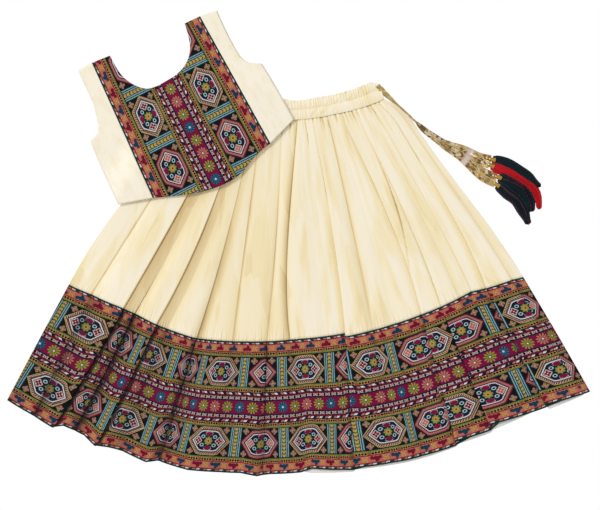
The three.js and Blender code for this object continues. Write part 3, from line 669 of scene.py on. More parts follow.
TAPE_ROUTE = [
    (130.8, 248.0, 4.6), (133.0, 246.2, 4.5), (137.5, 240.8, 3.6), (143.0, 235.6, 2.8),
    (148.5, 230.6, 2.6), (154.0, 225.4, 2.6), (159.2, 220.6, 2.6), (164.6, 215.8, 2.6),
    (171.0, 210.2, 2.6), (177.6, 204.0, 2.6), (184.4, 197.4, 2.6), (191.4, 190.6, 2.6),
    (198.0, 184.4, 2.6), (205.0, 178.6, 2.6), (212.6, 173.0, 2.6), (221.0, 167.4, 2.6),
    (229.6, 161.4, 2.6)]
TAPE_START = (126.6, 252.2, 7.4)   # where the tape comes out, over the waistband's corner
STREAMERS = {
    "1": [(232.3, 164.3), (238.4, 161.7), (245.0, 159.0), (253.0, 156.4), (261.4, 153.6),
          (270.0, 149.8), (279.0, 145.2), (288.0, 140.6), (296.4, 137.6), (307.4, 134.6)],
    "2": [(230.8, 162.2), (237.2, 158.8), (245.0, 155.8), (253.0, 152.4), (261.4, 148.6),
          (270.0, 143.4), (279.0, 137.8), (288.0, 132.6), (296.0, 129.0), (305.8, 125.4)],
    "3": [(229.3, 160.1), (236.0, 155.6), (244.0, 151.8), (252.0, 147.8), (260.0, 143.2),
          (268.4, 137.0), (277.4, 130.0), (287.0, 122.0), (297.0, 115.0), (306.0, 110.6),
          (317.4, 106.6)],
    "4": [(227.8, 158.0), (233.8, 153.2), (241.4, 148.4), (249.4, 143.4), (257.4, 138.0),
          (265.6, 131.0), (274.0, 123.0), (283.4, 113.8), (293.4, 105.6), (303.0, 100.2),
          (314.8, 95.6)]}
TASSELS = {
    "1": [(321.0, 131.4), (334.0, 127.6), (351.6, 117.6), (369.6, 105.4), (382.4, 95.0),
          (388.0, 90.6)],
    "2": [(318.0, 120.6), (334.0, 114.6), (355.0, 103.4), (371.6, 91.0), (382.0, 76.8),
          (385.6, 63.8), (385.0, 54.0)],
    "3": [(329.0, 102.6), (342.4, 98.6), (357.6, 90.0), (368.0, 75.4), (372.4, 60.6),
          (372.8, 50.0)],
    "4": [(325.6, 88.8), (335.0, 80.2), (349.0, 70.4), (357.8, 57.4), (364.6, 42.0),
          (369.0, 30.0)]}
CAP_LENGTH = 12.0
CAP_RADIUS = 4.2
THREADS = 230
ODD_THREADED = ("3", "4")
THREAD_STEPS = 16
THREAD_SIDES = 4
THREAD_RADIUS = 0.42
TASSEL_HALF = 4.2        # of its width at the cap
TASSEL_SPREAD = {"1": 4.4, "2": 4.8, "3": 6.4, "4": 5.6}   # added to it past the cap
TASSEL_TAPER = 4.6       # taken from it towards the ends of the threads
TURNED_SIDES = 24
# Widths and rolls of the tape, and widths of a streamer, at shares of the length.
TAPE_WIDTHS = ([0, 0.1, 0.2, 0.3, 0.62, 0.75, 0.9, 1.0], [7.0, 8.5, 9.0, 9.0, 9.0, 10.0, 11.6, 13.0])
TAPE_ROLLS = ([0, 0.1, 0.24, 0.34, 0.62, 0.72, 1.0], [0.1, 0.3, 1.1, 1.42, 1.42, 0.6, 0.1])
STREAMER_WIDTHS = ([0, 0.2, 0.6, 0.95, 1.0], [6.0, 8.0, 10.4, 12.6, 12.6])
STREAMER_LIFTS = (1.5, 3.7)   # of its middle, along it and at its cap
# Profiles of the turned pieces: pairs of length and radius.
KNOT = [(k * 0.8, 2.3 + 0.7 * (k % 2)) for k in range(11)]
CAP = [(0.0, 1.8), (0.3, 2.8), (3.0, 3.2), (7.0, 3.6), (11.0, CAP_RADIUS), (11.7, CAP_RADIUS),
       (CAP_LENGTH, CAP_RADIUS - 0.4)]
BEAD = [(2.3 * math.cos(a), 2.3 * math.sin(a)) for a in np.linspace(math.pi - 0.2, 0.2, 9)]


def run_through(points, count):
    """Evenly spaced points on a smooth curve through a route, with their lengths along it."""
    points = np.asarray(points, float)
    lengths = np.concatenate([[0], np.cumsum(np.linalg.norm(np.diff(points, axis=0), axis=1))])
    at = np.linspace(0, lengths[-1], count)
    curve = np.stack([bend_through(lengths, points[:, k], at) for k in range(points.shape[1])], 1)
    return curve, at


def ribbon(name, route, widths, rolls, thickness, material, pattern):
    """A flat ribbon along a route: its width and its roll about its own line vary. Pattern shifts
    the sequins, and is 0 for the tape. Gives the piece, the line of its middle and its length."""
    count = len(widths)
    line, at = run_through(route, count)
    run = np.gradient(line, axis=0)
    run /= np.linalg.norm(run, axis=1, keepdims=True)
    side = np.stack([-run[:, 1], run[:, 0], np.zeros(count)], 1)
    side /= np.linalg.norm(side, axis=1, keepdims=True)
    up = np.cross(run, side)
    up *= np.sign(up[:, 2:3])
    shares = np.linspace(-0.5, 0.5, 9)
    across = side * np.cos(rolls)[:, None] + up * np.sin(rolls)[:, None]
    rise = np.abs(np.sin(rolls)) * widths / 2
    grid = line[:, None, :] + across[:, None, :] * (shares[None, :, None] * widths[:, None, None])
    grid[:, :, 2] += rise[:, None]
    normal = np.cross(across, run)
    normal *= np.where(normal[:, 2:3] < 0, -1, 1)
    u = shares[None, :] * widths[:, None] + pattern
    v = np.broadcast_to(at[:, None], u.shape)
    edge = np.broadcast_to(np.abs(shares) * 2, u.shape) + (0 if pattern else 3)
    weave = np.stack([u, v, edge], -1)
    piece = add_wall(name, grid, normal[:, None, :], thickness, material, weave)
    path = line.copy()
    path[:, 2] += rise
    return piece, path, at[-1]


def tube_faces(rows, sides, base=0):
    """Sides and both ends of a tube whose points go round it, row after row."""
    faces = []
    for j in range(rows - 1):
        for k in range(sides):
            a = base + j * sides + k
            b = base + j * sides + (k + 1) % sides
            faces.append((a, b, b + sides, a + sides))
    faces.append(tuple(base + k for k in range(sides))[::-1])
    faces.append(tuple(base + (rows - 1) * sides + k for k in range(sides)))
    return faces


def level_aim(start, end):
    """Direction from one place towards another, with no rise."""
    aim = np.array([end[0] - start[0], end[1] - start[1], 0.0])
    return aim / np.linalg.norm(aim)


def add_turned(name, profile, start, aim, material):
    """A round piece about a line, from pairs of length and radius."""
    side = np.array([-aim[1], aim[0], 0.0])
    up = np.cross(aim, side)
    points, data = [], []
    for at, radius in profile:
        for k in range(TURNED_SIDES):
            a = 2 * math.pi * k / TURNED_SIDES
            points.append(start + aim * at + (side * math.cos(a) + up * math.sin(a)) * radius)
            data.append((at, radius * a, 0))
    return add_mesh(name, points, tube_faces(len(profile), TURNED_SIDES), material, data)


def add_tassel(number, start, material, dice):
    """Floss threads that leave the cap together, spread into a soft brush and end unevenly."""
    route = np.array([tuple(start[:2])] + TASSELS[number])
    line, _ = run_through(route, THREAD_STEPS)
    run = np.gradient(line, axis=0)
    run /= np.linalg.norm(run, axis=1, keepdims=True)
    side = np.stack([-run[:, 1], run[:, 0]], 1)
    points, faces, data = [], [], []
    s = np.linspace(0, 1, THREAD_STEPS)
    for n in range(THREADS):
        across = dice.uniform(-1, 1)
        height = dice.uniform(0, 1)
        reach = 1 - dice.uniform(0, 0.05) - 0.03 * across * across
        half = TASSEL_HALF + TASSEL_SPREAD[number] * smooth((s + 0.08) / 0.2)
        half = half - TASSEL_TAPER * smooth((s - 0.72) / 0.28)
        waver = 0.5 * noise(s * 3, n * 7.3, 5) * smooth(s * 4)
        offset = across * half + waver
        at = s * reach * (THREAD_STEPS - 1)
        x, y, sx, sy = [np.interp(at, np.arange(THREAD_STEPS), c) for c in (*line.T, *side.T)]
        arch = math.sqrt(1 - across * across)
        top = mix(4.2 + 1.6 * (height - 0.5), 0.7 + 4.6 * height * arch, smooth(s * 1.7))
        centre = np.stack([x + sx * offset, y + sy * offset, top], 1)
        radius = THREAD_RADIUS * (1 - 0.35 * s)
        odd = 1.0 if number in ODD_THREADED and n % 29 == 4 else 0.0
        faces += tube_faces(THREAD_STEPS, THREAD_SIDES, len(points))
        for j in range(THREAD_STEPS):
            for k in range(THREAD_SIDES):
                a = 2 * math.pi * k / THREAD_SIDES
                p = centre[j] + radius[j] * math.cos(a) * np.array([sx[j], sy[j], 0])
                points.append(p + np.array([0, 0, radius[j] * math.sin(a)]))
                data.append((n * 1.37, s[j] * 90, odd))
    return add_mesh("floss_" + number, points, faces, material, data)


def add_tape(looks):
    """The drawstring's tape, and the knot where it splits into streamers."""
    share = np.linspace(0, 1, 90)
    widths = np.interp(share, *TAPE_WIDTHS)
    rolls = np.interp(share, *TAPE_ROLLS)
    route = [TAPE_START] + TAPE_ROUTE
    tape, path, length = ribbon("tape", route, widths, rolls, 0.8, looks["zari"], 0)
    dress("drawstring_tape")
    last = np.array(TAPE_ROUTE[-1])
    aim = level_aim(TAPE_ROUTE[-2], last)
    knot = add_turned("split_knot", KNOT, last - aim * 3.0, aim, looks["zari"])


def add_streamer(k, number, flat, looks, dice):
    """One streamer, with its bead, cap and tassel."""
    n = len(flat)
    rise = smooth((np.arange(n) - n + 5) / 4)
    route = [(x, y, mix(*STREAMER_LIFTS, r)) for (x, y), r in zip(flat, rise)]
    end = np.array(route[-1])
    aim = level_aim(end, TASSELS[number][0])
    share = np.linspace(0, 1, 70)
    widths = np.interp(share, *STREAMER_WIDTHS)
    rolls = 0.45 * noise(share * 4, k * 3.1, 3)
    streamer, path, length = ribbon("ribbon_" + number, route, widths, rolls, 0.6,
                                    looks["zari"], 31.0 * (k + 1))
    dress("streamer_" + number)
    start = end - aim * 3.7
    cap = add_turned("cap_" + number, CAP, start, aim, looks["cap"])
    dress("tassel_cap_" + number)
    bead_look = looks["white"] if k % 2 == 0 else looks["ruby"]
    bead = add_turned("bead_" + number, BEAD, start - aim * 2.0, aim, bead_look)
    colour = "red" if number == "2" else "teal"
    head = start + aim * (CAP_LENGTH - 5.0)
    floss = add_tassel(number, head, looks["floss_" + colour], dice)
    dress("tassel_" + number)


def add_drawstring(looks):
    add_tape(looks)
    dice = np.random.default_rng(7)
    for k, (number, flat) in enumerate(STREAMERS.items()):
        add_streamer(k, number, flat, looks, dice)


# ---------- the skirt's fan ----------

WAIST_TOP = ([-25.3, 0.7, 5.8, 13.1, 30.6, 32.2], [285, 276, 282, 282, 291, 300])
WAIST_SEAM = ([-23.8, 4.6, 16.5, 30.5], [309, 312, 315, 325])
BORDER_SEAM = (
    [-30.1, -26.7, -22.1, -19.5, -16.3, -11.3, -3.9, 3.1, 9.35, 9.45, 15.7, 27.7, 29.85, 33.4, 34.9],
    [664, 660, 659, 661, 667, 672, 666, 661, 660, 665, 663, 661, 668, 678, 685])
HEM_LINE = (
    [-29.5, -25.9, -24.2, -23.2, -20.8, -19.4, -18.0, -16.4, -13.8, -12.7, -9.4, -3.9, -2.2, -0.8,
     2.4, 3.6, 7.95, 8.05, 13.9, 18.95, 19.05, 22.95, 23.05, 29.15, 29.25, 33.8],
    [873, 875, 878, 869, 870, 880, 876, 875, 882, 876, 881, 876, 880, 876,
     874, 869, 878, 875, 878, 878, 871, 875, 866, 881, 877, 896])
PLACES = [0, 0.5, 1, 2]   # waist, half way down the silk, border's seam, hem
USUAL_RADII = {1: 500, 2: 665, 3: 876}   # at the last three of those places

# Folds from left to right: name, angles, heights and, for a knife pleat only, the side on top and
# the overlap of its layers, each at the four places.
FOLDS = [
    ("left edge", [-23.8, -29.0, -30.2, -29.7], [0, 0, 0, 0]),
    ("crease 1", [-21.5, -24.8, -26.7, -26.4], [0.6, 0.4, 2.4, 3.0]),
    ("pleat 2", [-15.2, -19.3, -22.0, -24.1], [0.3, 0.2, 4.2, 4.6], "left", [0, 3, 14, 12]),
    ("hollow 2", [-13.2, -17.2, -20.2, -21.9], [0.2, 0.2, 1.0, 1.0]),
    ("pleat 3", [-10.8, -13.7, -17.0, -19.3], [0.4, 0.2, 4.0, 4.4], "left", [0, 3, 16, 14]),
    ("hollow 3", [-9.2, -12.0, -15.4, -17.2], [0.2, 0.2, 1.0, 1.4]),
    ("ridge 4", [-8.2, -10.8, -12.6, -14.3], [0.8, 1.2, 3.4, 6.2]),
    ("crease 4", [-7.3, -9.2, -11.2, -12.5], [0.4, 0, 0, 0]),
    ("ridge 5", [-6.2, -7.8, -8.9, -10.2], [0.8, 1.4, 3.0, 5.2]),
    ("crease 5", [-5.2, -5.9, -6.3, -6.1], [0.3, 0.6, 1.2, 2.4]),
    ("ridge 6", [-1.8, -3.2, -3.6, -3.4], [0.8, 1.4, 2.8, 5.4]),
    ("crease 6", [1.1, -0.2, -1.5, -1.6], [0.4, 0, 0, 0]),
    ("ridge 7", [3.6, 0.9, 0.2, 0.6], [1.2, 1.8, 2.8, 5.0]),
    ("crease 7", [5.7, 2.0, 1.7, 3.3], [0, 0.2, 0.8, 2.0]),
    ("ridge 8", [6.9, 3.8, 4.2, 5.4], [1.2, 2.0, 2.6, 4.2]),
    ("crease 8", [8.4, 6.8, 6.6, 6.8], [0.5, 1.2, 1.4, 2.2]),
    ("pleat 9", [10.2, 10.2, 9.4, 8.0], [0.6, 0.8, 1.0, 1.6], "right", [0, 4, 28, 22]),
    ("crease 10", [14.4, 13.7, 13.2, 12.0], [0.3, 0.6, 1.4, 3.0]),
    ("ridge 11", [15.4, 15.2, 14.9, 13.8], [0.6, 1.3, 2.4, 5.2]),
    ("crease 11", [16.4, 16.8, 16.2, 15.2], [0.4, 0.8, 1.4, 2.0]),
    ("ridge 12", [17.4, 19.0, 18.4, 17.2], [0.8, 1.4, 2.2, 3.8]),
    ("pleat 13", [18.4, 20.8, 20.3, 19.0], [0.2, 0.2, 0.8, 1.2], "right", [0, 4, 31, 28]),
    ("pleat 14", [22.4, 23.8, 23.2, 23.0], [0.6, 0.8, 1.2, 1.4], "right", [0, 2, 20, 17]),
    ("ridge 15", [24.6, 26.2, 26.0, 26.0], [0.7, 1.3, 2.2, 4.0]),
    ("crease 15", [26.4, 28.1, 27.9, 27.6], [0.4, 0.7, 1.2, 2.2]),
    ("pleat 16", [28.6, 30.9, 29.9, 29.2], [0.4, 0.6, 1.0, 1.2], "right", [0, 8, 34, 32]),
    ("crease 17", [29.8, 33.2, 33.4, 33.0], [0.4, 0.8, 1.6, 3.6]),
    ("right edge", [30.5, 34.4, 34.9, 33.8], [0, 0, 0, 0])]

FOLD_INDEX = {fold[0]: k for k, fold in enumerate(FOLDS)}

# Where the border's pattern lies: for each stretch of it, the fold it ends at, then U and the
# angles at which that U is found in the upper and the lower row of medallions. A fold that hides
# some of the cloth leaves a jump in U.
PATTERN = [
    ("pleat 2", [(-36, -28.7, -29.1), (0, -25.5, -26.2), (36, -22.2, -23.5)]),
    ("pleat 3", [(90, -20.7, -21.66), (135, -18.4, -19.3)]),
    ("crease 6", [
        (144, -18.3, -19.1), (180, -16.75, -17.56), (216, -14.2, -14.8), (234, -12.9, -13.9),
        (262, -11.6, -12.4), (278, -11.2, -11.9), (306, -10.1, -10.75), (324, -9.3, -9.9),
        (360, -7.3, -7.7), (396, -4.95, -5.3), (414, -3.8, -4.15), (450, -0.9, -1.9)]),
    ("pleat 9", [
        (450, -3.0, -1.9), (486, -0.1, 0.1), (504, 1.15, 1.2), (540, 3.5, 3.4), (576, 6.0, 5.5),
        (594, 7.3, 6.5)]),
    ("pleat 13", [
        (684, 9.3, 9.4), (720, 12.45, 12.3), (756, 14.3, 14.35), (774, 15.4, 15.2),
        (810, 18.4, 17.7)]),
    ("pleat 14", [(900, 20.2, 20.2), (936, 23.1, 23.1)]),
    ("crease 15", [(990, 24.3, 24.1), (1026, 27.5, 27.15)]),
    ("pleat 16", [(1134, 28.75, 28.4), (1170, 31.8, 31.0)]),
    ("crease 17", [(1224, 29.87, 29.58), (1260, 32.85, 32.41)]),
    (None, [(1350, 32.85, 32.41), (1386, 34.7, 34.1)])]
ROW_PLACES = (49.9, 163.1)   # of the medallions, across the border from its seam
PLEAT_SPAN = 0.01        # how far the layers of a fold spread in a section's order
PLEAT_MIDDLE = 0.0042    # of that, the stretch in which the pattern jumps


def course(values, place):
    """Smooth course of a fold's value down the skirt."""
    if place >= 1:
        return np.interp(place, PLACES, values)
    bow = values[1] - (values[0] + values[2]) / 2
    return mix(values[0], values[2], place) + bow * 4 * place * (1 - place)


# How far the gathers push the last folds out below the waistband's end: degrees at places, and
# the share of them for each of those folds.
BULGE = ([0, 0.05, 0.11, 0.2, 0.3, 0.5, 0.8], [1.0, 2.4, 2.75, 2.0, 1.25, 0.4, 0.0])
BULGED = {"pleat 14": 0.1, "ridge 15": 0.25, "crease 15": 0.4, "pleat 16": 0.6, "crease 17": 0.8,
          "right edge": 1.0}


def fold_angle(fold, place):
    name, angles = fold[:2]
    bulge = float(bend_through(*BULGE, np.array(min(place, BULGE[0][-1]))))
    return float(course(angles, place)) + BULGED.get(name, 0.0) * bulge


def lift_at(place):
    """Height from which the folds rise: a little more for the border, on its thicker back."""
    return mix(SKIRT_LEVEL, BORDER_LEVEL, float(smooth((place - 1.1) / 0.5)))


def radius_at(angle, place):
    """Distance from the fan's apex, for an angle and a place down the skirt."""
    seam = np.interp(angle, *BORDER_SEAM)
    if place >= 1:
        return mix(seam, np.interp(angle, *HEM_LINE), place - 1)
    narrowed = angle * mix(1, 0.87, place)
    return mix(np.interp(narrowed, *WAIST_SEAM), seam, place)


def fan_point(angle, radius, z):
    """Points at angles in degrees about the fan's apex, from straight down the skirt."""
    a = np.radians(angle)
    x = FAN_APEX[0] + radius * np.sin(a)
    y = FAN_APEX[1] - radius * np.cos(a)
    return np.stack(np.broadcast_arrays(x, y, z), -1)


def knife_knots(side_on_top, angle, height, overlap, place):
    """The three layers of a knife pleat, from left to right along the cloth: angle, angle whose
    radius it has, height, and share of the way through the pleat."""
    radius = float(radius_at(angle, place))
    overlap = max(0.0, overlap * float(smooth((place - 0.3) / 0.2)))
    step = FOLD_STEP * mix(0.14, 1, float(smooth((place - 0.2) / 0.4)))
    turn = min(0.8, overlap * 0.2)
    side = 1 if side_on_top == "right" else -1
    # For each knot: how far out it lies, how many steps up, and the side of the fold whose radius
    # it has, or 0 for the radius where it lies.
    knots = []
    layers = [(0, 0, -1), (overlap, 0, 0), (overlap + turn, 1, 0), (overlap, 2, 0), (0, 2, 1),
              (-turn, 3, 1), (0, 4, 1)]
    layers += [((overlap + 2) * k / TOP_COLUMNS, 4, 0) for k in range(1, TOP_COLUMNS + 1)]
    for j, (out, up, on) in enumerate(layers):
        at = angle + side * math.degrees(out / radius)
        length = at if on == 0 else angle + side * on * 0.04
        through = min(j, 6) / 7 + max(0, j - 6) / (7 * TOP_COLUMNS)
        knots.append((at, length, height + up * step, through if side > 0 else 1 - through))
    return knots if side > 0 else knots[::-1]


def between_counts():
    """Columns between neighbouring folds, from where they lie farthest apart."""
    counts = []
    for a, b in zip(FOLDS, FOLDS[1:]):
        widest = max(abs(b[1][k] - a[1][k]) * radius for k, radius in USUAL_RADII.items())
        counts.append(max(3, round(math.radians(widest) / COLUMN_PITCH)))
    return counts


def gather_at(angle, place, creases):
    """Small gathers below the waistband, each as long and deep as it happens to be."""
    z = np.zeros_like(angle)
    spread = mix(1.0, 1.15, place)
    for at, depth, length, width in creases:
        fade = 1 - float(smooth(place / length))
        if fade > 0:
            z -= depth * fade * np.exp(-(((angle - at * spread) / width) ** 2))
    return z


def make_creases(dice):
    creases = []
    at = -23.0
    while at < 30:
        creases.append((at, dice.uniform(0.5, 2.1), dice.choice([0.03, 0.05, 0.07, 0.1, 0.22]),
                        dice.uniform(0.16, 0.36)))
        at += dice.uniform(0.5, 1.6)
    return creases


def pressed(share, rising):
    """A pleat's rise from its low crease, steep there and flat towards its crest."""
    return 1 - (1 - share) ** PLEAT_CRISP if rising else share ** PLEAT_CRISP


def skirt_section(place, counts):
    """Columns of one cross-section: angle, angle whose radius it has, height, and order, which
    counts the folds from the left along the cloth."""
    rows = []
    base = lift_at(place)
    previous = None
    for k, fold in enumerate(FOLDS):
        _, _, heights, *knife = fold
        angle = fold_angle(fold, place)
        height = float(course(heights, place))
        if knife:
            side_on_top, overlaps = knife
            knots = knife_knots(side_on_top, angle, height, float(course(overlaps, place)), place)
        else:
            knots = [(angle + side * FOLD_HALF, angle, height, max(side, 0.0)) for side in (-1, 1)]
        if previous is not None:
            count = counts[k - 1]
            share = np.arange(1, count + 1) / (count + 1)
            at = mix(previous[0], knots[0][0], share)
            rise = mix(previous[2], knots[0][2], pressed(share, knots[0][2] > previous[2]))
            for a, z, q in zip(at, rise, share):
                rows.append((a, a, base + z, k - 1 + q))
        for a, length, z, through in knots:
            rows.append((a, length, base + z, k + PLEAT_SPAN * (through - 0.5)))
        previous = knots[-1]
    return np.array(rows)


def fold_depth(x, z, reach, full):
    """How deep each column lies below what is round it, from 0 to 1, along one section."""
    near = np.abs(x[:, None] - x[None, :]) < reach
    crest = np.where(near, z[None, :], -1e9).max(axis=1)
    weights = np.exp(-(((x[:, None] - x[None, :]) / (reach * 0.35)) ** 2))
    crest = (weights * crest[None, :]).sum(axis=1) / weights.sum(axis=1)
    return np.clip((crest - z) / full, 0, 1)


# Shade beside the folds of the silk: the fold (or, where none is modelled, its angles), how wide
# the shade lies to its right, or to its left if below zero, and its strength at the waist, half
# way down and at the border.
SHADES = [
    ("crease 1", -6, [0.3, 0.9, 0.9]), ("pleat 2", 56, [0.4, 1.25, 1.05]),
    ("pleat 3", 40, [0.4, 1.2, 1.05]), ("crease 4", 18, [0.5, 0.95, 1.6]),
    ("crease 5", 7, [0.4, 0.85, 0.7]), ("crease 6", -8, [0.3, 0.4, 0.6]),
    ("crease 7", -14, [0.5, 1.05, 1.0]), ("pleat 9", -6, [0.3, 0.6, 0.7]),
    ("crease 10", 9, [1.0, 1.1, 0.7]), ("pleat 13", -11, [0.5, 0.7, 0.6]),
    ([22.5, 22.9, 18.4, 18.4], -7, [0.0, 1.6, 0.0]), ("pleat 14", -5, [0.0, 0.6, 0.9]),
    ("crease 15", -5, [0.4, 0.6, 0.7]), ("pleat 16", -6, [0.4, 0.75, 0.8]),
    ("crease 17", 9, [0.6, 0.7, 0.5])]


def cast_shade(section, place):
    """Painted shade beside the folds along one section of the silk, and a fine painted dark line at
    each fold.
    """
    shade = np.zeros(len(section))
    for fold, width, strengths in SHADES:
        named = isinstance(fold, str)
        at = FOLD_INDEX.get(fold) if named else None
        angle = fold_angle(FOLDS[at], place) if named else float(course(fold, place))
        strength = np.interp(place, [0, 0.5, 1], strengths)
        side = math.copysign(1, width)
        beyond = np.radians(section[:, 0] - angle) * float(radius_at(angle, place)) * side
        covered = (section[:, 3] - at) * side > 0 if named else beyond > 0
        fall = np.exp(-(np.maximum(beyond, 0) / (abs(width) * 0.6)) ** 2) * covered
        line = 0.5 * np.exp(-((beyond - 0.6) / 1.4) ** 2)
        shade = np.maximum(shade, strength * (fall * 0.8 + line))
    return shade


def along_line(x, keys, values):
    """Straight lines through a table's points, going on past both its ends."""
    y = np.interp(x, keys, values)
    first = (values[1] - values[0]) / (keys[1] - keys[0])
    last = (values[-1] - values[-2]) / (keys[-1] - keys[-2])
    return y + np.minimum(x - keys[0], 0) * first + np.maximum(x - keys[-1], 0) * last


def pattern_along(section, place):
    """U of the brocade for one row of the border, from where the pattern lies in each stretch."""
    angle, order = section[:, 0], section[:, 3]
    share = ((place - 1) * BORDER_DEPTH - ROW_PLACES[0]) / (ROW_PLACES[1] - ROW_PLACES[0])
    u, fold = None, None
    for ends, marks in PATTERN:
        marks = np.array(marks, float)
        here = along_line(angle, mix(marks[:, 1], marks[:, 2], share), marks[:, 0])
        if u is None:
            u = here
        else:
            u = mix(u, here, np.clip((order - fold) / PLEAT_MIDDLE + 0.5, 0, 1))
        fold = FOLD_INDEX.get(ends)
    return u


def pleated(places, border, creases):
    """Grid of points and its weave data for the silk or the border."""
    counts = between_counts()
    grid, weave = [], []
    for place in places:
        section = skirt_section(place, counts)
        angle = section[:, 0]
        radius = radius_at(section[:, 1], place)
        ripple = gather_at(angle, place, creases) if place < 0.4 else 0
        z = section[:, 2] + ripple
        points = fan_point(angle, radius, z)
        x = np.radians(angle) * radius.mean()
        if border:
            u = pattern_along(section, place)
            v = np.full_like(u, (place - 1) * BORDER_DEPTH)
            # Painted shade in the brocade's folds, from their depth, strongest on the left.
            depth = fold_depth(x, z, 6.0, 2.6) * np.interp(angle, [-12, -4, 6], [0.95, 0.6, 0.28])
        else:
            u = angle * 11.6
            v = np.full_like(u, place * SILK_DEPTH)
            # Painted shade of the silk: from the depth of its folds, the shade beside them and the
            # hollows of the gathers; weaker on the right, and with a band of more painted shade down
            # the middle of the skirt.
            depth = fold_depth(x, z, 9.0, mix(1.6, 4.0, float(smooth(place / 0.15)))) * 0.8
            depth = np.maximum(np.maximum(depth, cast_shade(section, place)), -ripple * 0.8)
            depth = depth * mix(1.0, 0.75, smooth((angle - 5.0) / 5.0))
            depth = depth + 0.3 * np.exp(-((angle + 3.0) / 6.0) ** 2) * float(smooth(place / 0.5))
        grid.append(points)
        weave.append(np.stack([u, v, depth], -1))
    return np.array(grid), np.array(weave)


def wrinkles(grid, amount, across, along, seed):
    """Small unevenness of cloth that was pressed and worn."""
    a = noise(grid[..., 0] / across, grid[..., 1] / along, seed)
    b = noise(grid[..., 0] / across * 2.3, grid[..., 1] / along * 1.9, seed + 1)
    grid[..., 2] += amount * (a + 0.5 * b)
    return grid


def back_sheet(places, trim_end):
    """Grid and weave of the skirt's plain back, a little narrower than its front."""
    grid, weave = [], []
    for place in places:
        left, right = [fold_angle(FOLDS[k], place) for k in (0, -1)]
        angle = np.linspace(left + 0.12, right - 0.12, 160)
        radius = radius_at(angle, place) - trim_end * (place == places[-1])
        ripple = 0.25 * noise(angle * 0.7, place * 5, 8)
        grid.append(fan_point(angle, radius, BACK_LEVEL + ripple))
        # A little painted shade all over the back.
        weave.append(np.stack([angle * 15.3, np.full_like(angle, (place - 1) * BORDER_DEPTH),
                               np.full_like(angle, 0.1)], -1))
    return np.array(grid), np.array(weave)


def add_skirt(looks):
    creases = make_creases(np.random.default_rng(11))
    silk, weave = pleated(np.linspace(0, 1, 84), False, creases)
    silk = wrinkles(silk, 0.25, 22, 60, 3)
    skirt = add_cloth("skirt_silk", silk, CLOTH, looks["silk"], weave)
    dress("skirt_front")

    border, weave = pleated(np.linspace(1, 2, 72), True, creases)
    strip = add_cloth("border_strip", border, BROCADE_WALL, looks["brocade"], weave)
    dress("border_front")

    grid, weave = back_sheet(np.linspace(0, 1, 40), 0)
    under = add_cloth("skirt_lower", grid, CLOTH, looks["silk"], weave)
    dress("skirt_back")
    grid, weave = back_sheet(np.linspace(1, 2, 30), 2)
    under = add_cloth("border_lower", grid, BROCADE_WALL, looks["brocade"], weave)
    dress("border_back")


LINING_HEM = (
    [2.6, 3.4, 7.9, 8.1, 13.4, 15.6, 18.9, 19.2, 22.8, 23.1, 29.1, 29.3, 33.1],
    [873, 876, 881, 878, 882, 882, 880, 877, 879, 876, 878, 886, 895])
LINING_DEPTH = 62.0
LINING_WALL = 0.5


def add_lining(looks):
    ends = LINING_HEM[0]
    angle = np.linspace(ends[0], ends[-1], 260)
    grid, weave = [], []
    for share in np.linspace(0, 1, 16):
        radius = np.interp(angle, *LINING_HEM) - (1 - share) * LINING_DEPTH
        level = LINING_LEVEL + 0.2 * noise(angle, share * 3, 4)
        grid.append(fan_point(angle, radius, level))
        weave.append(np.stack([angle * 15, radius, np.zeros_like(angle)], -1))
    piece = add_cloth("lining_hem", np.array(grid), LINING_WALL, looks["lining"], np.array(weave))
    dress("skirt_lining_hem")


# ---------- waistband ----------

BAND_ENDS = {"top": (-25.3, 32.9), "seam": (-23.8, 31.4)}
BAND_DEPTH = 30.0
CHANNELS = (0.0, 0.47, 1.0)   # the band's top, the stitching between its channels, its seam
BAND_WAVES = 62          # of the ruffle, along the band


def ruffle_phase(dice, count):
    """Turns of a ruffle at the ends of its waves, each of its own length."""
    steps = dice.uniform(0.55, 1.6, count)
    return np.concatenate([[0], np.cumsum(steps)])


def band_line(down, share, inset, trim):
    """Angles and radii along the waistband, at a share of the way down it. Inset, in degrees,
    and trim make it smaller at its ends and its seam."""
    left, right = [mix(BAND_ENDS["top"][k], BAND_ENDS["seam"][k], down) for k in (0, 1)]
    angle = mix(left + inset, right - inset, share)
    seam = np.interp(angle, *WAIST_SEAM) - trim
    return angle, mix(np.interp(angle, *WAIST_TOP), seam, down)


def band_weave(angle, down, depth):
    return np.stack([angle * 5.2, np.full_like(angle, down * BAND_DEPTH), depth], -1)


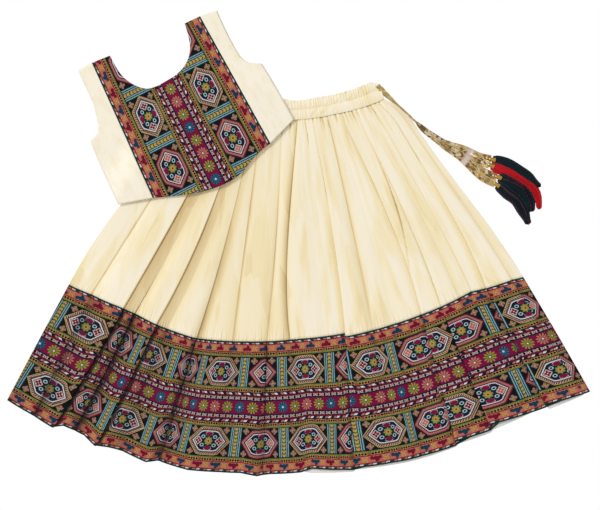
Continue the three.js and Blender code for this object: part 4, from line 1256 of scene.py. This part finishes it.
def add_waistband(looks):
    dice = np.random.default_rng(5)
    share = np.linspace(0, 1, 560)
    waves = [np.interp(share * BAND_WAVES, np.arange(BAND_WAVES + 1),
                       ruffle_phase(dice, BAND_WAVES)) for _ in range(3)]
    upper, lower, edge = [2 * math.pi * wave for wave in waves]
    grid, weave = [], []
    for down in np.linspace(0, 1, 41):
        angle, radius = band_line(down, share, 0.0, 0.3)
        channel = 0 if down < CHANNELS[1] else 1
        within = (down - CHANNELS[channel]) / (CHANNELS[channel + 1] - CHANNELS[channel])
        puff = 1.3 * math.sqrt(max(0.0, math.sin(math.pi * within)))
        strength = 0.2 + 0.8 * np.abs(noise(share * 26, channel * 5.3, 9)) ** 1.5
        strength = strength * (1.0 if channel == 0 else 0.6)
        phase = lower if channel else upper
        wave = np.cos(phase + 1.6 * noise(share * 24, down * 4, 2))
        pinch = min(1.0, sum(math.exp(-((within - end) / 0.12) ** 2) for end in (0.0, 1.0)))
        z = BAND_LEVEL - 0.6 + puff + wave * strength * (0.9 - 0.5 * pinch)
        scallop = 0.35 * np.cos(edge) * (1 - smooth(down / 0.25))
        grid.append(fan_point(angle, radius + scallop, z))
        # Painted shade in the hollows of the ruffle and at its pinched stitching, and darker slanted
        # streaks.
        depth = np.clip(0.02 - 0.45 * wave * strength, 0, 1)
        depth = np.clip(depth + 0.3 * pinch * (0.5 - 0.5 * wave), 0, 1)
        slanted = np.maximum(noise(share * 56 + down * 7, down * 2.6 + channel, 31), 0)
        weave.append(band_weave(angle, down, depth + 0.5 * slanted ** 1.5))
    band = add_cloth("waistband_ruffled", np.array(grid), CLOTH, looks["silk"], np.array(weave))
    dress("waistband_front")

    grid, weave = [], []
    for down in np.linspace(0, 1, 12):
        angle, radius = band_line(down, share[::2], 0.2, 0.0)
        wave = 0.5 * np.cos(upper[::2])
        grid.append(fan_point(angle, radius, BAND_BACK_LEVEL + wave))
        # Painted shade in the hollows of its waves.
        weave.append(band_weave(angle, down, 0.25 - 0.3 * wave))
    band = add_cloth("waistband_lower", np.array(grid), CLOTH, looks["silk"], np.array(weave))
    dress("waistband_back")


# ---------- choli ----------

# Armhole and side edges: share of the length, then across and down at the left and the right.
CHOLI_SIDES = np.array([
    (0.00, -117.4, -91.0, 121.2, -78.0), (0.13, -118.5, -61.7, 120.2, -51.7),
    (0.25, -119.6, -32.0, 120.0, -25.0), (0.33, -123.0, -17.0, 120.9, -7.0),
    (0.40, -128.4, 1.9, 123.0, 8.0), (0.45, -135.0, 12.4, 130.0, 20.0),
    (0.49, -150.3, 18.3, 147.5, 30.5), (0.65, -153.7, 57.8, 150.2, 62.0),
    (0.82, -154.6, 93.0, 151.9, 96.0), (1.00, -155.3, 129.4, 153.6, 133.6)])
UNDERARM = 6
# Columns of the centre panel: across and down at the shoulder and neckline, and at the hem.
CHOLI_COLUMNS = np.array([
    (-93.6, -92.3, -102.7, 144.9), (-78.0, -91.2, -86.0, 151.5), (-62.8, -89.8, -70.0, 157.6),
    (-62.2, -70.0, -62.0, 160.7), (-58.8, -49.5, -54.0, 163.4), (-49.0, -30.8, -43.0, 167.0),
    (-34.3, -16.6, -29.4, 170.6), (-18.0, -12.8, -14.0, 173.9), (0.0, -13.2, 2.0, 175.8),
    (18.0, -14.8, 18.0, 176.4), (34.8, -20.5, 34.8, 174.0), (47.9, -30.2, 48.0, 169.6),
    (57.8, -44.4, 58.0, 165.0), (63.3, -61.0, 66.0, 161.4), (67.2, -82.3, 74.0, 157.8),
    (80.6, -82.0, 88.0, 154.0), (94.2, -81.7, 103.7, 151.0)])
STRAP_CORNERS = (2, 14)


def through_corners(keys, values, at, corners):
    """Smooth curve that keeps the corners at some of its points."""
    out = np.zeros_like(at)
    cuts = [0, *corners, len(keys) - 1]
    for a, b in zip(cuts, cuts[1:]):
        here = (at >= keys[a]) & (at <= keys[b])
        out[here] = bend_through(keys[a:b + 1], values[a:b + 1], at[here])
    return out


def choli_place(across, down):
    """Where a place of the choli lies, from how far across and down it is in its own axes."""
    x = CHOLI_ORIGIN[0] + across * math.cos(CHOLI_TURN) + down * math.sin(CHOLI_TURN)
    y = CHOLI_ORIGIN[1] + across * math.sin(CHOLI_TURN) - down * math.cos(CHOLI_TURN)
    return x, y


def outside_skirt(x, y):
    """How far a place lies outside the skirt, past its waistband or its left edge."""
    def beyond(start, end):
        run = end - start
        return -((x - start[0]) * run[1] - (y - start[1]) * run[0]) / math.hypot(*run)
    corner = fan_point(BAND_ENDS["top"][0], WAIST_TOP[1][0], 0.0)[:2]
    middle = fan_point(WAIST_TOP[0][1], WAIST_TOP[1][1], 0.0)[:2]
    edge = fan_point(course(FOLDS[0][1], 0.5), radius_at(-29.0, 0.5), 0.0)[:2]
    return np.maximum(np.maximum(beyond(corner, middle), beyond(edge, corner)), 0)


def choli_floor(x, y):
    """Height of the choli's underside: on the skirt, or sloping down to the table beside it."""
    return CHOLI_REST * (1 - smooth((outside_skirt(x, y) - 3) / CHOLI_SLOPE))


def choli_lines(columns, rows):
    """Edges of the choli in its own axes: both ends of its panel's columns, and both its sides
    at shares of the way down."""
    keys = np.arange(len(CHOLI_COLUMNS), dtype=float)
    edges = [through_corners(keys, CHOLI_COLUMNS[:, k], columns, STRAP_CORNERS) for k in range(4)]
    side_keys = CHOLI_SIDES[:, 0]
    sides = [through_corners(side_keys, CHOLI_SIDES[:, k], rows, [UNDERARM]) for k in range(1, 5)]
    return edges, sides


def choli_grid(part, rows, columns):
    """Grid of one part of the choli: left, centre, right, or whole."""
    shares = np.unique(np.concatenate([np.linspace(0, 1, rows), CHOLI_SIDES[:, 0]]))
    last = len(CHOLI_COLUMNS) - 1
    keys = np.linspace(0, last, columns)
    keys = np.unique(np.concatenate([keys, np.arange(last + 1.0)]))
    edges, sides = choli_lines(keys, shares)
    centre = [mix(edges[k][None, :], edges[k + 2][None, :], shares[:, None]) for k in (0, 1)]
    steps = np.linspace(0, 1, 26)
    left = [mix(sides[k][:, None], centre[k][:, :1], steps[None, :]) for k in (0, 1)]
    right = [mix(centre[k][:, -1:], sides[k + 2][:, None], steps[None, :]) for k in (0, 1)]
    whole = [np.concatenate([left[k][:, :-1], centre[k], right[k][:, 1:]], 1) for k in (0, 1)]
    across, down = {"left": left, "centre": centre, "right": right, "whole": whole}[part]
    return across, down, shares


def choli_points(part, rows, columns, floor, crown, seed):
    """Grid of points and weave of one part of the choli."""
    across, down, shares = choli_grid(part, rows, columns)
    x, y = choli_place(across, down)
    width = np.clip((across + CHOLI_HALF) / (2 * CHOLI_HALF), 0, 1)
    rise = crown * np.sin(math.pi * width) * np.sin(math.pi * mix(0.12, 0.9, shares))[:, None]
    z = choli_floor(x, y) + floor + rise
    grid = np.stack([x, y, z], -1)
    grid = wrinkles(grid, 0.22, 45, 45, seed)
    weave = np.stack([down, across, np.zeros_like(across)], -1)
    return grid, weave


def add_choli(looks):
    grid, weave = choli_points("whole", 70, 110, CHOLI_BACK_LIFT, 0, 21)
    outwards = CHOLI_TUCK * np.array([math.cos(CHOLI_TURN), math.sin(CHOLI_TURN)])
    grid[:, 0, :2] -= outwards
    grid[:, -1, :2] += outwards
    back = add_cloth("choli_lower", grid, CLOTH, looks["choli"], weave)
    dress("choli_back")
    for part, node, look, slot, flat, area in (
            ("left", "choli_front_left", "choli", "choli_silk", (0.06, 0.24), 0.009),
            ("centre", "choli_front_center", "brocade", "brocade", (0.21, 0.27), 0.043),
            ("right", "choli_front_right", "choli", "choli_silk", (0.06, 0.24), 0.009)):
        grid, weave = choli_points(part, 90, 150, CHOLI_FRONT_LIFT, CHOLI_CROWN, 23)
        thickness = CLOTH
        if part == "centre":
            thickness = BROCADE_WALL
            across = weave[..., 1]
            share = (across - across[:, :1]) / (across[:, -1:] - across[:, :1])
            along = (weave[..., 0] - PANEL_START) * 0.98
            weave = np.stack([along, share * BORDER_DEPTH, weave[..., 2]], -1)
        piece = add_cloth("choli_" + part, grid, thickness, looks[look], weave)
        dress(node)


# ---------- the whole set ----------

add_camera()
add_studio()
LOOKS = {
    "brocade": brocade_material(),
    "silk": silk_material("silk", srgb(248, 238, 214), srgb(244, 227, 182), srgb(210, 180, 124),
                          0.009, True),
    "choli": silk_material("choli_silk", srgb(248, 240, 220), srgb(245, 234, 208),
                           srgb(226, 206, 160), 0.1, False),
    "lining": lining_material(),
    "zari": zari_material(),
    "cap": metal_material("cap_metal", srgb(222, 190, 96), srgb(150, 104, 40)),
    "white": metal_material("bead_white", srgb(240, 236, 226), srgb(190, 180, 160)),
    "ruby": metal_material("bead_red", srgb(170, 20, 40), srgb(90, 8, 20)),
    "floss_teal": floss_material("silk_teal", srgb(0, 6, 10), srgb(6, 46, 56)),
    "floss_red": floss_material("silk_red", srgb(160, 6, 18), srgb(226, 20, 34)),
}
add_drawstring(LOOKS)
add_waistband(LOOKS)
add_skirt(LOOKS)
add_lining(LOOKS)
add_choli(LOOKS)
